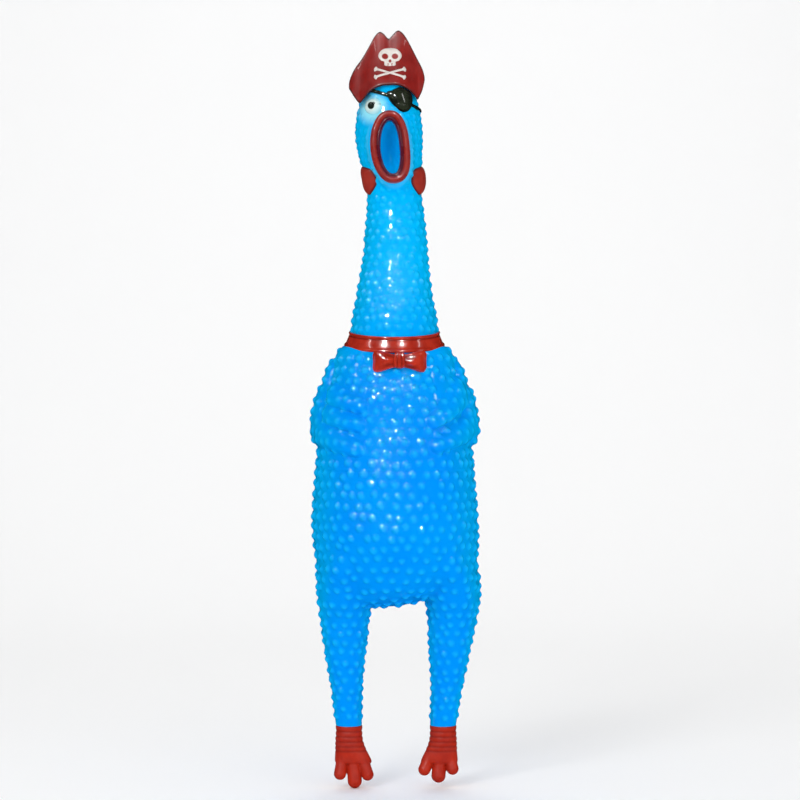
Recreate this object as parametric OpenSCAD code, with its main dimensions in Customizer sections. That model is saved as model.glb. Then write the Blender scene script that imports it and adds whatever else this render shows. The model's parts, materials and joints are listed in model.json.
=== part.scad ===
// Squeaking rubber chicken dressed as a pirate.
// One hollow soft-vinyl moulding, divided where it flexes, with its painted
// and moulded-on trim and the reed squeaker inside the neck.
// Millimetres, +Z towards the hat, -Y is the front, +X is the chicken's left.
// The origin is in the middle of the belly, where a hand closes round it.

/* [Skin] */
// Thickness of the moulded skin
wall = 1.5; // [1.2:0.1:1.9]
// Free gap round every flexing ball
flex_gap = 0.3; // [0.25:0.05:0.4]
// Proud height of trim that is moulded on the skin
trim_t = 1.2; // [0.8:0.1:1.6]

/* [Torso] */
// Height of the belly's middle above the toe tips
grip_height = 112; // [100:1:130]
// Length from the rump to the shoulders
torso_len = 103; // [86:1:124]
// Width across the belly
belly_w = 65; // [54:1:78]
// Depth through the belly
belly_d = 58; // [49:1:68]
// Height of the squeezed belly patch
squeeze_h = 52; // [44:1:60]
// Width of the squeezed belly patch
squeeze_w = 32; // [26:1:38]

/* [Neck] */
// Length from the shoulders to the head joint
neck_len = 55; // [48:1:66]
// Radius of the skin at the collar
neck_base_r = 17.1; // [15.5:0.1:18]
// Radius of the skin under the head
neck_top_r = 10.9; // [10:0.1:13]

/* [Head] */
// Height of the head above its joint
head_h = 55; // [50:1:66]
// Width of the head
head_w = 26; // [24:0.5:31]
// Depth of the head
head_d = 29; // [26:0.5:34]
// Lean of the head to the chicken's right
head_lean = 2.6; // [0:0.1:5]
// Outer height of the lips
mouth_h = 29; // [24:0.5:32]
// Outer width of the lips
mouth_w = 16; // [13.5:0.5:18]
// Thickness of the rolled lip
lip_t = 3.4; // [2.8:0.1:4]
// Radius of the bulging eye
eye_r = 3.6; // [3:0.1:4.4]

/* [Hat] */
// Width across the hat's brim
hat_w = 29.6; // [25:0.1:36]
// Height of the hat
hat_h = 29.2; // [25:0.1:35]
// Thickness of a brim leaf
brim_t = 1.8; // [1.4:0.1:2.4]

/* [Legs] */
// Distance of each hip from the middle
hip_x = 21.2; // [19:0.1:25]
// Length from hip to ankle
leg_len = 41; // [35:1:50]
// Radius of the thigh at the hip
thigh_r = 9.6; // [8.2:0.1:10.4]
// Radius at the ankle
ankle_r = 5.3; // [4.8:0.1:6.4]
// Inward lean of the legs
leg_lean = 3.7; // [0:0.1:5]
// Length of the foot below the ankle joint
foot_len = 27; // [23:0.5:32]
// Width across the toes
foot_w = 15.6; // [13:0.1:18]

/* [Dress] */
// Height of the collar band
collar_h = 4.4; // [3.5:0.1:5.3]
// Thickness of the collar band
collar_t = 2; // [1.5:0.1:2.4]
// Forward tilt of the collar
collar_tilt = 10; // [0:1:12]
// Width of the bow tie
bow_w = 22; // [18:0.5:26]
// Height of the bow tie
bow_h = 9.2; // [7.5:0.1:11]

/* [Squeaker] */
// Outer radius of the squeaker's housing
squeaker_r = 10; // [8.5:0.1:10.2]
// Length of the squeaker's housing
squeaker_len = 18; // [15:0.5:20]
// Wall of the housing
squeaker_wall = 1.2; // [1:0.1:1.5]
// Clearance between the housing and its seat
squeaker_fit = 0.05; // [0.02:0.01:0.1]
// Thickness of the reed
reed_t = 0.25; // [0.15:0.05:0.4]

/* [Hidden] */
$fn = 48;

LEFT = 1;
RIGHT = -1;
BLUE = [0.05, 0.55, 0.92];
RED = [0.70, 0.11, 0.07];
FOOT_RED = [0.76, 0.17, 0.08];
BLACK = [0.05, 0.05, 0.05];
WHITE = [0.93, 0.95, 0.93];
CLEAR = [0.85, 0.87, 0.86];

hair = 0.05;              // thickness of a loft's slices
loft_fn = 36;             // sides of a loft
far = 200;                // longer than the whole chicken's half

// Heights above the toe tips
ankle_z = foot_len * cos(leg_lean);
hip_z = ankle_z + leg_len * cos(leg_lean);
rump_lift = 2.6;          // rump above the hips
rump_z = hip_z + rump_lift;
shoulder_z = rump_z + torso_len;
collar_lift = 1.4;        // collar's middle above the shoulders
collar_z = shoulder_z + collar_lift;
head_z = shoulder_z + neck_len;

// How far each flex line bends, in degrees
neck_bend = 25;
head_bend = 30;
hip_bend = 40;
shank_bend = 25;
ankle_bend = 35;
rim_spare = 0.5;          // spare room where a bent skin meets the next rim

// Flex centres, along the neck from the shoulders and down the leg from the hip
neck_base_at = collar_lift + collar_h / 2 + collar_t + neck_base_r * sin(collar_tilt);
neck_mid_at = neck_base_at + 0.55 * (neck_len - neck_base_at);
knee_at = 0.53 * leg_len;

// ---------- curves ----------

// Which interval of a sorted list of keys holds t
function interval(keys, t) =
    max([0, for (i = [0:len(keys) - 2]) if (keys[i][0] <= t) i]);

// Slope of column c at key i
function slope(keys, i, c) =
    let (a = max(0, i - 1), b = min(len(keys) - 1, i + 1))
    (keys[b][c] - keys[a][c]) / (keys[b][0] - keys[a][0]);

// Smooth curve through column c of the keys, at t
function smooth(keys, t, c = 1) =
    let (i = interval(keys, t), w = keys[i + 1][0] - keys[i][0], u = (t - keys[i][0]) / w)
    (2 * pow(u, 3) - 3 * pow(u, 2) + 1) * keys[i][c]
    + (pow(u, 3) - 2 * pow(u, 2) + u) * w * slope(keys, i, c)
    + (3 * pow(u, 2) - 2 * pow(u, 3)) * keys[i + 1][c]
    + (pow(u, 3) - pow(u, 2)) * w * slope(keys, i + 1, c);

// Share of full width in a rounded end: 0 at its tip, 1 from depth on
function dome(at, depth) = at >= depth ? 1 : sqrt(max(0, 1 - pow(1 - at / depth, 2)));

// ---------- torso ----------

// Share of the length, of half the width, of half the depth, and the bulge forwards
torso_keys = [
    [0, 0.92, 0.80, -1.5], [0.20, 0.975, 0.95, 1], [0.36, 1, 1, 3], [0.50, 0.975, 1, 3],
    [0.62, 0.93, 0.96, 2.2], [0.72, 0.905, 0.89, 1.2], [0.82, 0.875, 0.80, 0.4],
    [0.905, 0.82, 0.715, 0], [0.969, 0.735, 0.64, 0], [1, 0.66, 0.605, 0]];
rump_dome = 22;           // length of the rump's rounded end
torso_steps = 17;

function torso_slice(t) =
    let (round_end = dome(t * torso_len, rump_dome))
    [rump_z + t * torso_len, round_end * smooth(torso_keys, t, 1) * belly_w / 2,
     round_end * smooth(torso_keys, t, 2) * belly_d / 2, -smooth(torso_keys, t, 3), t];

torso_slices = [for (i = [0:torso_steps]) torso_slice(pow(i / torso_steps, 1.35))];

// One thin elliptical slice, grown outwards by grow
module slice(s, grow) {
    translate([0, s[3], s[0] + grow * (2 * s[4] - 1)])
        scale([max(hair, s[1] + grow), max(hair, s[2] + grow), 1])
            cylinder(r = 1, h = hair, center = true, $fn = loft_fn);
}

module loft(slices, grow) {
    for (i = [0:len(slices) - 2]) hull() {
        slice(slices[i], grow);
        slice(slices[i + 1], grow);
    }
}

module torso_body(grow = 0) {
    loft(torso_slices, grow);
}

stub_rise = 13;           // height of the thigh's shoulder above the hip
stub_swell = 1.2;         // how much wider it is than the thigh
stub_root = 34;           // height above the hip where the thigh is lost in the belly

// Stub of the thigh that the torso's moulding ends in
module thigh_stub(side, grow) {
    hull() {
        translate([side * hip_x, 0, hip_z + stub_rise])
            sphere(r = thigh_r + stub_swell + grow, $fn = loft_fn);
        at_hip(side) cylinder(r = thigh_r + grow, h = hair, $fn = loft_fn);
        translate([side * hip_x * 0.93, 0, hip_z + stub_root])
            sphere(r = thigh_r + grow, $fn = loft_fn);
    }
}

// Frame at the hip, with +Z down along the leg
module at_hip(side) {
    translate([side * hip_x, 0, hip_z]) rotate([0, 180 + side * leg_lean, 0]) children();
}

// Frame on the neck's axis, a distance above the shoulders
module at_neck(up) {
    translate([0, 0, shoulder_z + up]) children();
}

thigh_ball_r = thigh_r - wall - flex_gap;
neck_ball_r = neck_base_r - wall - flex_gap;
socket_depth = 0.45;      // depth of a socket, as a share of its ball's radius
socket_bore = 0.82;       // narrowest bore of a socket, as a share of its ball's radius

// Solid that fills the squeezed patch's outline, through the front of the torso
module squeeze_prism(grow) {
    translate([0, 0, grip_height]) rotate([90, 0, 0])
        scale([squeeze_w / 2 + grow, squeeze_h / 2 + grow, 1]) cylinder(r = 1, h = far);
}

module torso_shell() {
    difference() {
        union() {
            torso_body();
            at_neck(-wall) cylinder(r = neck_base_r, h = neck_base_at + wall);
            for (side = [LEFT, RIGHT]) thigh_stub(side, 0);
        }
        difference() {
            union() {
                torso_body(-wall);
                for (side = [LEFT, RIGHT]) thigh_stub(side, -wall);
            }
            for (side = [LEFT, RIGHT]) at_hip(side)
                translate([0, 0, -socket_depth * thigh_ball_r]) cylinder(r = thigh_r, h = far);
        }
        at_neck(-far / 4) cylinder(r = socket_bore * neck_ball_r, h = far);
        at_neck(neck_base_at) sphere(r = neck_ball_r + flex_gap);
        for (side = [LEFT, RIGHT]) at_hip(side) {
            translate([0, 0, -thigh_r]) cylinder(r = socket_bore * thigh_ball_r, h = far);
            sphere(r = thigh_ball_r + flex_gap);
            cylinder(r = 1.2 * thigh_r, h = thigh_r);
        }
    }
}

module torso_skin() {
    color(BLUE) difference() {
        torso_shell();
        squeeze_prism(flex_gap);
    }
}

module belly_skin() {
    color(BLUE) intersection() {
        difference() {
            torso_body();
            torso_body(-wall);
        }
        squeeze_prism(0);
    }
}

// ---------- wings ----------

wing_t = 2.4;             // proud height of a folded wing
wing_top = 0.86;          // height of its shoulder, as a share of the torso
wing_bottom = 0.60;       // height of its lowest feather tip

// Outline of the folded wing in front view: shoulder, outer edge, then three feather tips
module wing_outline() {
    top = wing_top * torso_len;
    low = wing_bottom * torso_len;
    half = belly_w / 2;
    drop = top - low;
    polygon([
        [0.66 * half, top - 0.06 * drop], [0.80 * half, top], [1.3 * half, top],
        [1.3 * half, low + 0.12 * drop], [1.02 * half, low + 0.03 * drop],
        [0.86 * half, low + 0.15 * drop], [0.70 * half, low + 0.08 * drop],
        [0.44 * half, low - 0.02 * drop], [0.41 * half, low + 0.08 * drop],
        [0.60 * half, low + 0.32 * drop], [0.42 * half, low + 0.31 * drop],
        [0.37 * half, low + 0.39 * drop], [0.54 * half, low + 0.56 * drop],
        [0.38 * half, low + 0.60 * drop], [0.37 * half, low + 0.69 * drop],
        [0.52 * half, low + 0.84 * drop]]);
}

// Rounded outline of the folded wing in side view
module wing_side() {
    back = 0.2 * belly_d;
    hull() {
        translate([back - 8, wing_top * torso_len - 11]) circle(r = 8);
        translate([back - 11, wing_bottom * torso_len + 11]) circle(r = 11);
        translate([-belly_d, wing_bottom * torso_len - 2]) square([1, wing_top * torso_len]);
    }
}

module wing(side) {
    color(BLUE) intersection() {
        difference() {
            torso_body(wing_t);
            torso_body();
        }
        translate([0, 0, rump_z]) scale([side, 1, 1]) rotate([90, 0, 0])
            linear_extrude(height = far, center = true) wing_outline();
        translate([0, 0, rump_z]) rotate([90, 0, 90])
            linear_extrude(height = far, center = true) wing_side();
    }
}

// ---------- collar and bow tie ----------

module neck_collar() {
    color(RED) at_neck(collar_lift) difference() {
        rotate([collar_tilt, 0, 0]) rotate_extrude()
            translate([neck_base_r / cos(collar_tilt), -collar_h / 2])
                square([collar_t, collar_h]);
        cylinder(r = neck_base_r, h = far, center = true);
        translate([0, 0, -shoulder_z - collar_lift]) torso_body();
    }
}

bow_offset = 1.8;         // bow's middle, to the chicken's left
knot_w = 4.6;
knot_h = 6.2;
bow_t = 5;                // depth of the bow in front of the chest, before it is seated

module at_bow() {
    drop = collar_h / 2 + neck_base_r * sin(collar_tilt) - collar_lift;
    translate([bow_offset, smooth(torso_keys, 0.95, 2) * -belly_d / 2,
               shoulder_z - drop - bow_h / 2 - flex_gap]) children();
}

module knot_body(grow = 0) {
    at_bow() scale([knot_w / 2 + grow, bow_t * 0.62 + grow, knot_h / 2 + grow]) sphere(r = 1, $fn = 24);
}

module bow_loop(side) {
    corner = 1.5;
    at_bow() for (up = [1, -1]) hull() {
        translate([side * (bow_w / 2 - corner), 0, up * (bow_h / 2 - corner)]) sphere(r = corner, $fn = 16);
        translate([side * (bow_w / 2 - corner), -bow_t / 4, 0]) sphere(r = corner, $fn = 16);
        translate([side * knot_w * 0.3, -bow_t / 5, 0]) sphere(r = corner, $fn = 16);
    }
}

// Core that runs through the knot from loop to loop
module bow_waist(grow) {
    at_bow() translate([0, -1.2, 0]) rotate([0, 90, 0])
        cylinder(r = 0.7 + grow, h = knot_w + 1, center = true, $fn = 16);
}

module bow_tie() {
    color(RED) difference() {
        union() {
            difference() {
                union() for (side = [LEFT, RIGHT]) bow_loop(side);
                knot_body();
            }
            bow_waist(0);
        }
        torso_body();
        at_neck(collar_lift) rotate([collar_tilt, 0, 0])
            cylinder(r = neck_base_r / cos(collar_tilt) + collar_t, h = collar_h, center = true);
    }
}

module bow_knot() {
    color(RED) difference() {
        knot_body();
        bow_waist(squeaker_fit);
        torso_body();
    }
}

// ---------- flexing links of the neck and legs ----------

// Half section of a hollow link. Its ball is centred on 0 and its skin runs to the next
// centre at reach. profile is a list of [distance, skin radius]. next_ball is 0 for none.
module link_section(profile, ball_r, bend, reach, next_ball, extra = []) {
    skin_from = ball_shoulder(profile, bend);
    rows = [for (i = [0:8]) let (z = skin_from + (reach - skin_from) * i / 8) [smooth(profile, z), z]];
    inner_to = reach - socket_depth * next_ball - wall;
    inner = [for (i = [0:8]) let (z = skin_from + wall + (inner_to - skin_from - wall) * i / 8)
             [smooth(profile, z) - wall, z]];
    intersection() {
        translate([0, -far]) square([far, 2 * far]);
        difference() {
            union() {
                polygon(concat([[0, skin_from]], rows, [[0, reach]]));
                intersection() {
                    circle(r = ball_r);
                    translate([0, -ball_r * sin(bend + 5)]) square([ball_r, far]);
                }
                square([ball_r * cos(bend), skin_from + wall]);
            }
            difference() {
                union() {
                    circle(r = ball_r - wall);
                    polygon(concat([[0, skin_from + wall]], inner, [[0, inner_to]]));
                    square([ball_r * cos(bend) - wall, inner_to]);
                }
                if (len(extra) > 0) translate([extra[0], extra[1]]) square([far, extra[2]]);
            }
            translate([0, inner_to - hair]) square([socket_bore * max(next_ball, hair), far]);
            if (next_ball > 0) translate([0, reach]) circle(r = next_ball + flex_gap);
        }
    }
}

// Where a link's own skin starts, clear of the rim that it bends over
function ball_shoulder(profile, bend) = profile[0][1] * sin(bend) + rim_spare;

// Skin radius up the neck, above the shoulders
neck_swell = [[0, 1], [0.1, 0.99], [0.25, 0.85], [0.42, 0.52], [0.6, 0.28], [0.8, 0.12], [1, 0]];
function neck_r(up) =
    neck_top_r + (neck_base_r - neck_top_r) * smooth(neck_swell, up / neck_len);
function neck_profile(from, to) = [for (i = [0:6]) let (d = (to - from) * i / 6) [d, neck_r(from + d)]];

neck_upper_ball_r = neck_r(neck_mid_at) - wall - flex_gap;
head_ball_r = neck_top_r - wall - flex_gap;
swing = neck_upper_ball_r * sin(2 * neck_bend + 5);      // reach of the next ball below its centre
squeaker_from = neck_mid_at - swing - 0.6 - squeaker_len; // housing's lower end above the shoulders
seat_h = 6;                             // height of the moulded seat round it

module neck_lower_skin() {
    reach = neck_mid_at - neck_base_at;
    seat_at = squeaker_from - neck_base_at + (squeaker_len - seat_h) / 2;
    color(BLUE) at_neck(neck_base_at) rotate_extrude()
        link_section(neck_profile(neck_base_at, neck_mid_at), neck_ball_r, neck_bend, reach,
                     neck_upper_ball_r, [squeaker_r + squeaker_fit, seat_at, seat_h]);
}

module neck_upper_skin() {
    color(BLUE) at_neck(neck_mid_at) rotate_extrude()
        link_section(neck_profile(neck_mid_at, neck_len), neck_upper_ball_r, neck_bend,
                     neck_len - neck_mid_at, head_ball_r);
}

// Skin radius down the leg, from the hip
leg_swell = [[0, 1], [0.18, 0.85], [0.38, 0.58], [0.6, 0.28], [0.8, 0.08], [1, 0]];
function leg_r(down) = ankle_r + (thigh_r - ankle_r) * smooth(leg_swell, down / leg_len);
function leg_profile(from, to) = [for (i = [0:6]) let (d = (to - from) * i / 6) [d, leg_r(from + d)]];

shank_ball_r = leg_r(knee_at) - wall - flex_gap;
foot_ball_r = ankle_r - wall - flex_gap;

module thigh_skin(side) {
    color(BLUE) at_hip(side) rotate_extrude()
        link_section(leg_profile(0, knee_at), thigh_ball_r, hip_bend, knee_at, shank_ball_r);
}

module shank_skin(side) {
    color(BLUE) at_hip(side) translate([0, 0, knee_at]) rotate_extrude()
        link_section(leg_profile(knee_at, leg_len), shank_ball_r, shank_bend,
                     leg_len - knee_at, foot_ball_r);
}

// ---------- feet ----------

toe_r = 2.5;

ring_h = 1.5;             // pitch of the scaly rings round the ankle
foot_thick = 1.35;        // depth of the foot, as a share of a toe

// Half section of the ringed ankle
module ankle_section(from) {
    rings = [for (i = [0:3], e = [[0, 0.5], [0.4, 0], [1.1, 0]]) [ankle_r - e[1], from + i * ring_h + e[0]]];
    polygon(concat([[0, from]], rings, [[ankle_r - 0.5, from + 4 * ring_h], [0, from + 4 * ring_h]]));
}

module foot(side) {
    skin_from = ankle_r * sin(ankle_bend) + rim_spare;
    color(FOOT_RED) at_hip(side) translate([0, 0, leg_len]) {
        sphere(r = foot_ball_r, $fn = 24);
        cylinder(r = foot_ball_r * cos(ankle_bend), h = skin_from + 1, $fn = 24);
        rotate_extrude($fn = 28) ankle_section(skin_from);
        hull() {
            translate([0, 0, skin_from + 4 * ring_h - 1]) cylinder(r = ankle_r - 0.5, h = 1, $fn = 20);
            translate([0, 0, foot_len * 0.64]) scale([foot_w / 2 / toe_r - 0.4, foot_thick, 1])
                sphere(r = toe_r, $fn = 20);
        }
        for (i = [-1, 0, 1]) hull() {
            translate([i * toe_r * 1.2, 0, foot_len * 0.55]) sphere(r = toe_r, $fn = 14);
            translate([i * (foot_w / 2 - toe_r), -1, foot_len - toe_r - abs(i) * 2.6])
                sphere(r = toe_r, $fn = 14);
        }
    }
}

// ---------- squeaker ----------

plug_t = 3;
tube_r = 3.4;             // half-round reed bed
channel_r = 2.2;
clamp_h = 3;
cap_t = 1.2;
reed_lift = 4;            // degrees that the reed stands off its bed
reed_w = 5.4;

module at_squeaker() {
    at_neck(squeaker_from) children();
}

module squeaker_housing() {
    color(CLEAR) at_squeaker() difference() {
        cylinder(r = squeaker_r, h = squeaker_len);
        translate([0, 0, -hair]) cylinder(r = squeaker_r - squeaker_wall, h = far);
    }
}

module squeaker_cap() {
    color(CLEAR) at_squeaker() difference() {
        cylinder(r = squeaker_r - squeaker_wall - squeaker_fit, h = cap_t);
        for (i = [0:5]) rotate([0, 0, 60 * i]) translate([squeaker_r * 0.5, 0, -1])
            cylinder(r = 1.5, h = cap_t + 2);
    }
}

bed_from = cap_t + 1.2;
bed_to = squeaker_len - plug_t;

module reed_shallot() {
    color(WHITE) at_squeaker() difference() {
        union() {
            translate([0, 0, bed_to])
                cylinder(r = squeaker_r - squeaker_wall - squeaker_fit, h = plug_t);
            translate([0, 0, bed_from]) cylinder(r = tube_r, h = bed_to - bed_from + hair);
        }
        translate([-tube_r, -2 * tube_r, bed_from - 1]) cube([2 * tube_r, 2 * tube_r, bed_to - bed_from + 1]);
        translate([0, 0, bed_from + 1.2]) cylinder(r = channel_r, h = far);
    }
}

module reed_clamp() {
    color(WHITE) at_squeaker()
        translate([-reed_w / 2 - 0.4, -1.6, bed_to - clamp_h]) cube([reed_w + 0.8, 1.6, clamp_h]);
}

module reed_tongue() {
    color(CLEAR) at_squeaker()
        translate([0, -0.15 - reed_t, bed_to - clamp_h - 0.1]) rotate([-reed_lift, 0, 0])
            translate([-reed_w / 2, 0, bed_from - bed_to + clamp_h + 0.3])
                cube([reed_w, reed_t, bed_to - bed_from - clamp_h - 0.4]);
}

// ---------- head ----------

// Share of the height above the skin's start, of half the width, of half the depth, bulge forwards
head_keys = [
    [0, 0.845, 0.76, 0], [0.18, 0.90, 0.88, 0.6], [0.38, 0.99, 0.99, 1.2],
    [0.55, 1, 1, 1], [0.75, 0.93, 0.93, 0.5], [1, 0.78, 0.8, 0]];
crown_dome = 15;          // length of the head's rounded top
head_steps = 12;
head_skin_from = neck_top_r * sin(head_bend) + rim_spare;

function head_slice(t) =
    let (span = head_h - head_skin_from, round_end = dome((1 - t) * span, crown_dome))
    [head_skin_from + t * span, round_end * smooth(head_keys, t, 1) * head_w / 2,
     round_end * smooth(head_keys, t, 2) * head_d / 2, -smooth(head_keys, t, 3), t];

head_slices = [for (i = [0:head_steps]) head_slice(1 - pow(1 - i / head_steps, 1.4))];

// Frame at the head's joint, leaning as the head does
module at_head() {
    at_neck(neck_len) rotate([0, -head_lean, 0]) children();
}

module head_body(grow = 0) {
    loft(head_slices, grow);
}

mouth_up = 24.6;          // lips' middle above the head joint
muzzle_rim = 1;           // smooth skin showing round the lips
trim_gap = 0.1;           // gap between neighbouring pieces of trim
muzzle_y = -head_d / 2 - 2.2;

// Oval prism along -Y from y = from to y = to, with half sizes w and h
module mouth_oval(w, h, from, to) {
    translate([0, from, mouth_up]) rotate([90, 0, 0]) scale([w, h, 1])
        cylinder(r = 1, h = from - to, $fn = loft_fn);
}

module head_skin() {
    neck_in = head_ball_r * cos(head_bend);
    color(BLUE) at_head() difference() {
        union() {
            head_body();
            mouth_oval(mouth_w / 2 + muzzle_rim, mouth_h / 2 + muzzle_rim, -head_d / 4, muzzle_y);
            difference() {
                sphere(r = head_ball_r, $fn = loft_fn);
                translate([-far / 2, -far / 2, -far - head_ball_r * sin(head_bend + 5)]) cube(far);
                translate([-far / 2, -far / 2, head_skin_from]) cube(far);
            }
            cylinder(r = neck_in, h = head_skin_from + wall, $fn = loft_fn);
        }
        head_body(-wall);
        mouth_oval(mouth_w / 2 - lip_t, mouth_h / 2 - lip_t, -head_d / 5, muzzle_y - 1);
        sphere(r = head_ball_r - wall, $fn = loft_fn);
        cylinder(r = neck_in - wall, h = head_skin_from + 2 * wall, $fn = loft_fn);
    }
}

// Rolled lip: rounded section carried round the mouth's oval
lip_sides = 12;
lip_rings = 36;
function lip_point(i, j) =
    let (a = 360 * i / lip_rings, b = 360 * j / lip_sides,
         out = lip_t / 2 * cos(b), w = mouth_w / 2 - lip_t / 2 + out, h = mouth_h / 2 - lip_t / 2 + out)
    [w * cos(a), muzzle_y - lip_t * 0.6 * (1 + sin(b)), mouth_up + h * sin(a)];

module beak_lips() {
    color(RED) at_head() polyhedron(
        points = [for (i = [0:lip_rings - 1], j = [0:lip_sides - 1]) lip_point(i, j)],
        faces = [for (i = [0:lip_rings - 1], j = [0:lip_sides - 1])
            let (ni = (i + 1) % lip_rings, nj = (j + 1) % lip_sides)
            each [[i * lip_sides + j, ni * lip_sides + nj, ni * lip_sides + j],
                  [i * lip_sides + j, i * lip_sides + nj, ni * lip_sides + nj]]]);
}

eye_x = -6.6;
eye_up = 41;
patch_x = 4.6;
patch_up = 43.4;
pupil_r = 1.5;

function head_front(x, up) =
    let (s = head_slice((up - head_skin_from) / (head_h - head_skin_from)))
    s[3] - s[2] * sqrt(max(0, 1 - pow(x / s[1], 2)));

module at_eye() {
    translate([eye_x, head_front(eye_x, eye_up) + eye_r * 0.35, eye_up]) children();
}

module right_eye() {
    color(WHITE) at_head() difference() {
        at_eye() sphere(r = eye_r, $fn = 30);
        head_body();
        strap_band(trim_gap);
    }
}

module right_pupil() {
    color(BLACK) at_head() difference() {
        intersection() {
            at_eye() sphere(r = eye_r + 0.4, $fn = 30);
            translate([eye_x - 0.4, 0, eye_up]) rotate([90, 0, 0]) cylinder(r = pupil_r, h = far);
        }
        at_eye() sphere(r = eye_r, $fn = 30);
        head_body();
    }
}

// Slanted band that the strap follows round the head
strap_w = 1.4;
strap_slant = 18;
module strap_band(grow = 0) {
    intersection() {
        head_body(trim_t * 0.7 + grow);
        translate([patch_x, 0, patch_up + 0.5]) rotate([0, strap_slant, 0])
            cube([far, far, strap_w + 2 * grow], center = true);
    }
}

// Shield outline of the patch, in front view
module patch_prism(grow = 0) {
    r = 2.2;
    translate([patch_x, 0, patch_up]) rotate([90, 0, 0]) linear_extrude(height = far)
        offset(r = grow) hull() {
            translate([-1.6, 2.2]) circle(r = r + 0.6);
            translate([2.6, 2]) circle(r = r);
            translate([0.8, -3]) circle(r = r + 0.4);
        }
}

module eye_patch() {
    color(BLACK) at_head() intersection() {
        difference() {
            head_body(trim_t);
            head_body();
            mouth_oval(mouth_w / 2 + muzzle_rim, mouth_h / 2 + muzzle_rim, -head_d / 4, -far);
        }
        patch_prism();
    }
}

module eye_patch_strap() {
    color(BLACK) at_head() difference() {
        strap_band();
        head_body();
        patch_prism();
    }
}

// Fleshy lobe hanging at the jaw
module wattle(side) {
    color(RED) at_head() difference() {
        hull() {
            translate([side * 10.2, -4.8, 15.5]) sphere(r = 1.7, $fn = 20);
            translate([side * 11, -4.6, 10]) sphere(r = 2.3, $fn = 20);
            translate([side * 8.8, -7, 9.2]) sphere(r = 1.9, $fn = 20);
        }
        head_body();
        mouth_oval(mouth_w / 2 + muzzle_rim + trim_gap, mouth_h / 2 + muzzle_rim + trim_gap,
                   -head_d / 4, -far);
    }
}

// ---------- hat ----------

hat_seat = 12.8;          // depth that the head sits in the hat
hat_up = head_h - hat_seat; // lowest corner of the brim above the head joint
leaf_gap = 2;             // half the gap between the leaves at the hat's top

// Half of the leaf in front view, from the notch round to the forehead's arch
hat_keys = [
    [0, 0.90], [0.16, 0.97], [0.30, 1], [0.42, 0.965], [0.66, 0.74],
    [0.90, 0.50], [0.995, 0.30], [1, 0.20], [0.90, 0.07], [0.75, 0]];
hat_arch = 0.32;          // height of the arch over the forehead, as a share

module hat_outline() {
    half = [for (i = [0:len(hat_keys) - 1]) [hat_keys[i][0] * hat_w / 2, hat_keys[i][1] * leaf_len]];
    arch = [for (a = [0:15:75]) [0.62 * hat_w / 2 * cos(a), hat_arch * leaf_len * sin(a)]];
    right = concat(half, arch);
    left = [for (i = [len(right) - 1:-1:1]) [-right[i][0], right[i][1]]];
    polygon(concat(right, [[0, hat_arch * leaf_len]], left));
}

leaf_foot_y = head_d / 2 - 1.5;
leaf_tilt = atan((leaf_foot_y - leaf_gap) / hat_h);
leaf_len = hat_h / cos(leaf_tilt);

// Frame on a leaf's outer face, with +Z outwards; facing is -1 for the front leaf
module on_leaf(facing) {
    translate([0, facing * leaf_foot_y, hat_up]) rotate([facing * leaf_tilt, 0, 0])
        rotate([90, 0, facing > 0 ? 180 : 0]) children();
}

module hat() {
    color(RED) at_head() difference() {
        union() {
            for (facing = [-1, 1]) on_leaf(facing)
                translate([0, 0, -brim_t]) linear_extrude(height = brim_t) hat_outline();
            hull() {
                translate([0, 0, hat_up + 0.42 * hat_h]) scale([hat_w * 0.36, leaf_foot_y * 0.55, 1])
                    cylinder(r = 1, h = hair);
                translate([0, 0, hat_up + 0.86 * hat_h]) scale([hat_w * 0.24, leaf_gap * 0.9, 1])
                    cylinder(r = 1, h = hair);
            }
            hull() {
                translate([0, 0, hat_up + 0.16 * hat_h]) scale([hat_w * 0.42, leaf_foot_y * 0.86, 1])
                    cylinder(r = 1, h = hair);
                translate([0, 0, hat_up + 0.42 * hat_h]) scale([hat_w * 0.36, leaf_foot_y * 0.55, 1])
                    cylinder(r = 1, h = hair);
            }
        }
        head_body();
        strap_band(trim_gap);
        at_eye() sphere(r = eye_r + 0.5);
        difference() {
            head_body(trim_t + trim_gap);
            translate([-far / 2, -far / 2, patch_up + 5.2]) cube(far);
        }
    }
}

emblem_t = 0.4;
skull_r = 4.4;

module bone(turn) {
    rotate([0, 0, turn]) {
        square([13, 0.9], center = true);
        for (end = [-1, 1], up = [-0.55, 0.55]) translate([end * 6.5, up]) circle(r = 0.75);
    }
}

module on_emblem() {
    color(WHITE) at_head() on_leaf(-1) translate([0, 0.62 * leaf_len, 0])
        linear_extrude(height = emblem_t) children();
}

module hat_skull() {
    on_emblem() difference() {
        union() {
            circle(r = skull_r);
            translate([-2.2, -skull_r - 1]) square([4.4, 3]);
        }
        for (side = [-1, 1]) translate([side * 1.8, -0.3]) circle(r = 1.15);
        translate([0, -2.3]) circle(r = 0.6);
    }
}

module hat_crossbones() {
    on_emblem() translate([0, -7.8]) {
        bone(18);
        bone(-18);
    }
}

// ---------- assembly ----------

module place() {
    translate([0, 0, -grip_height]) children();
}

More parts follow.
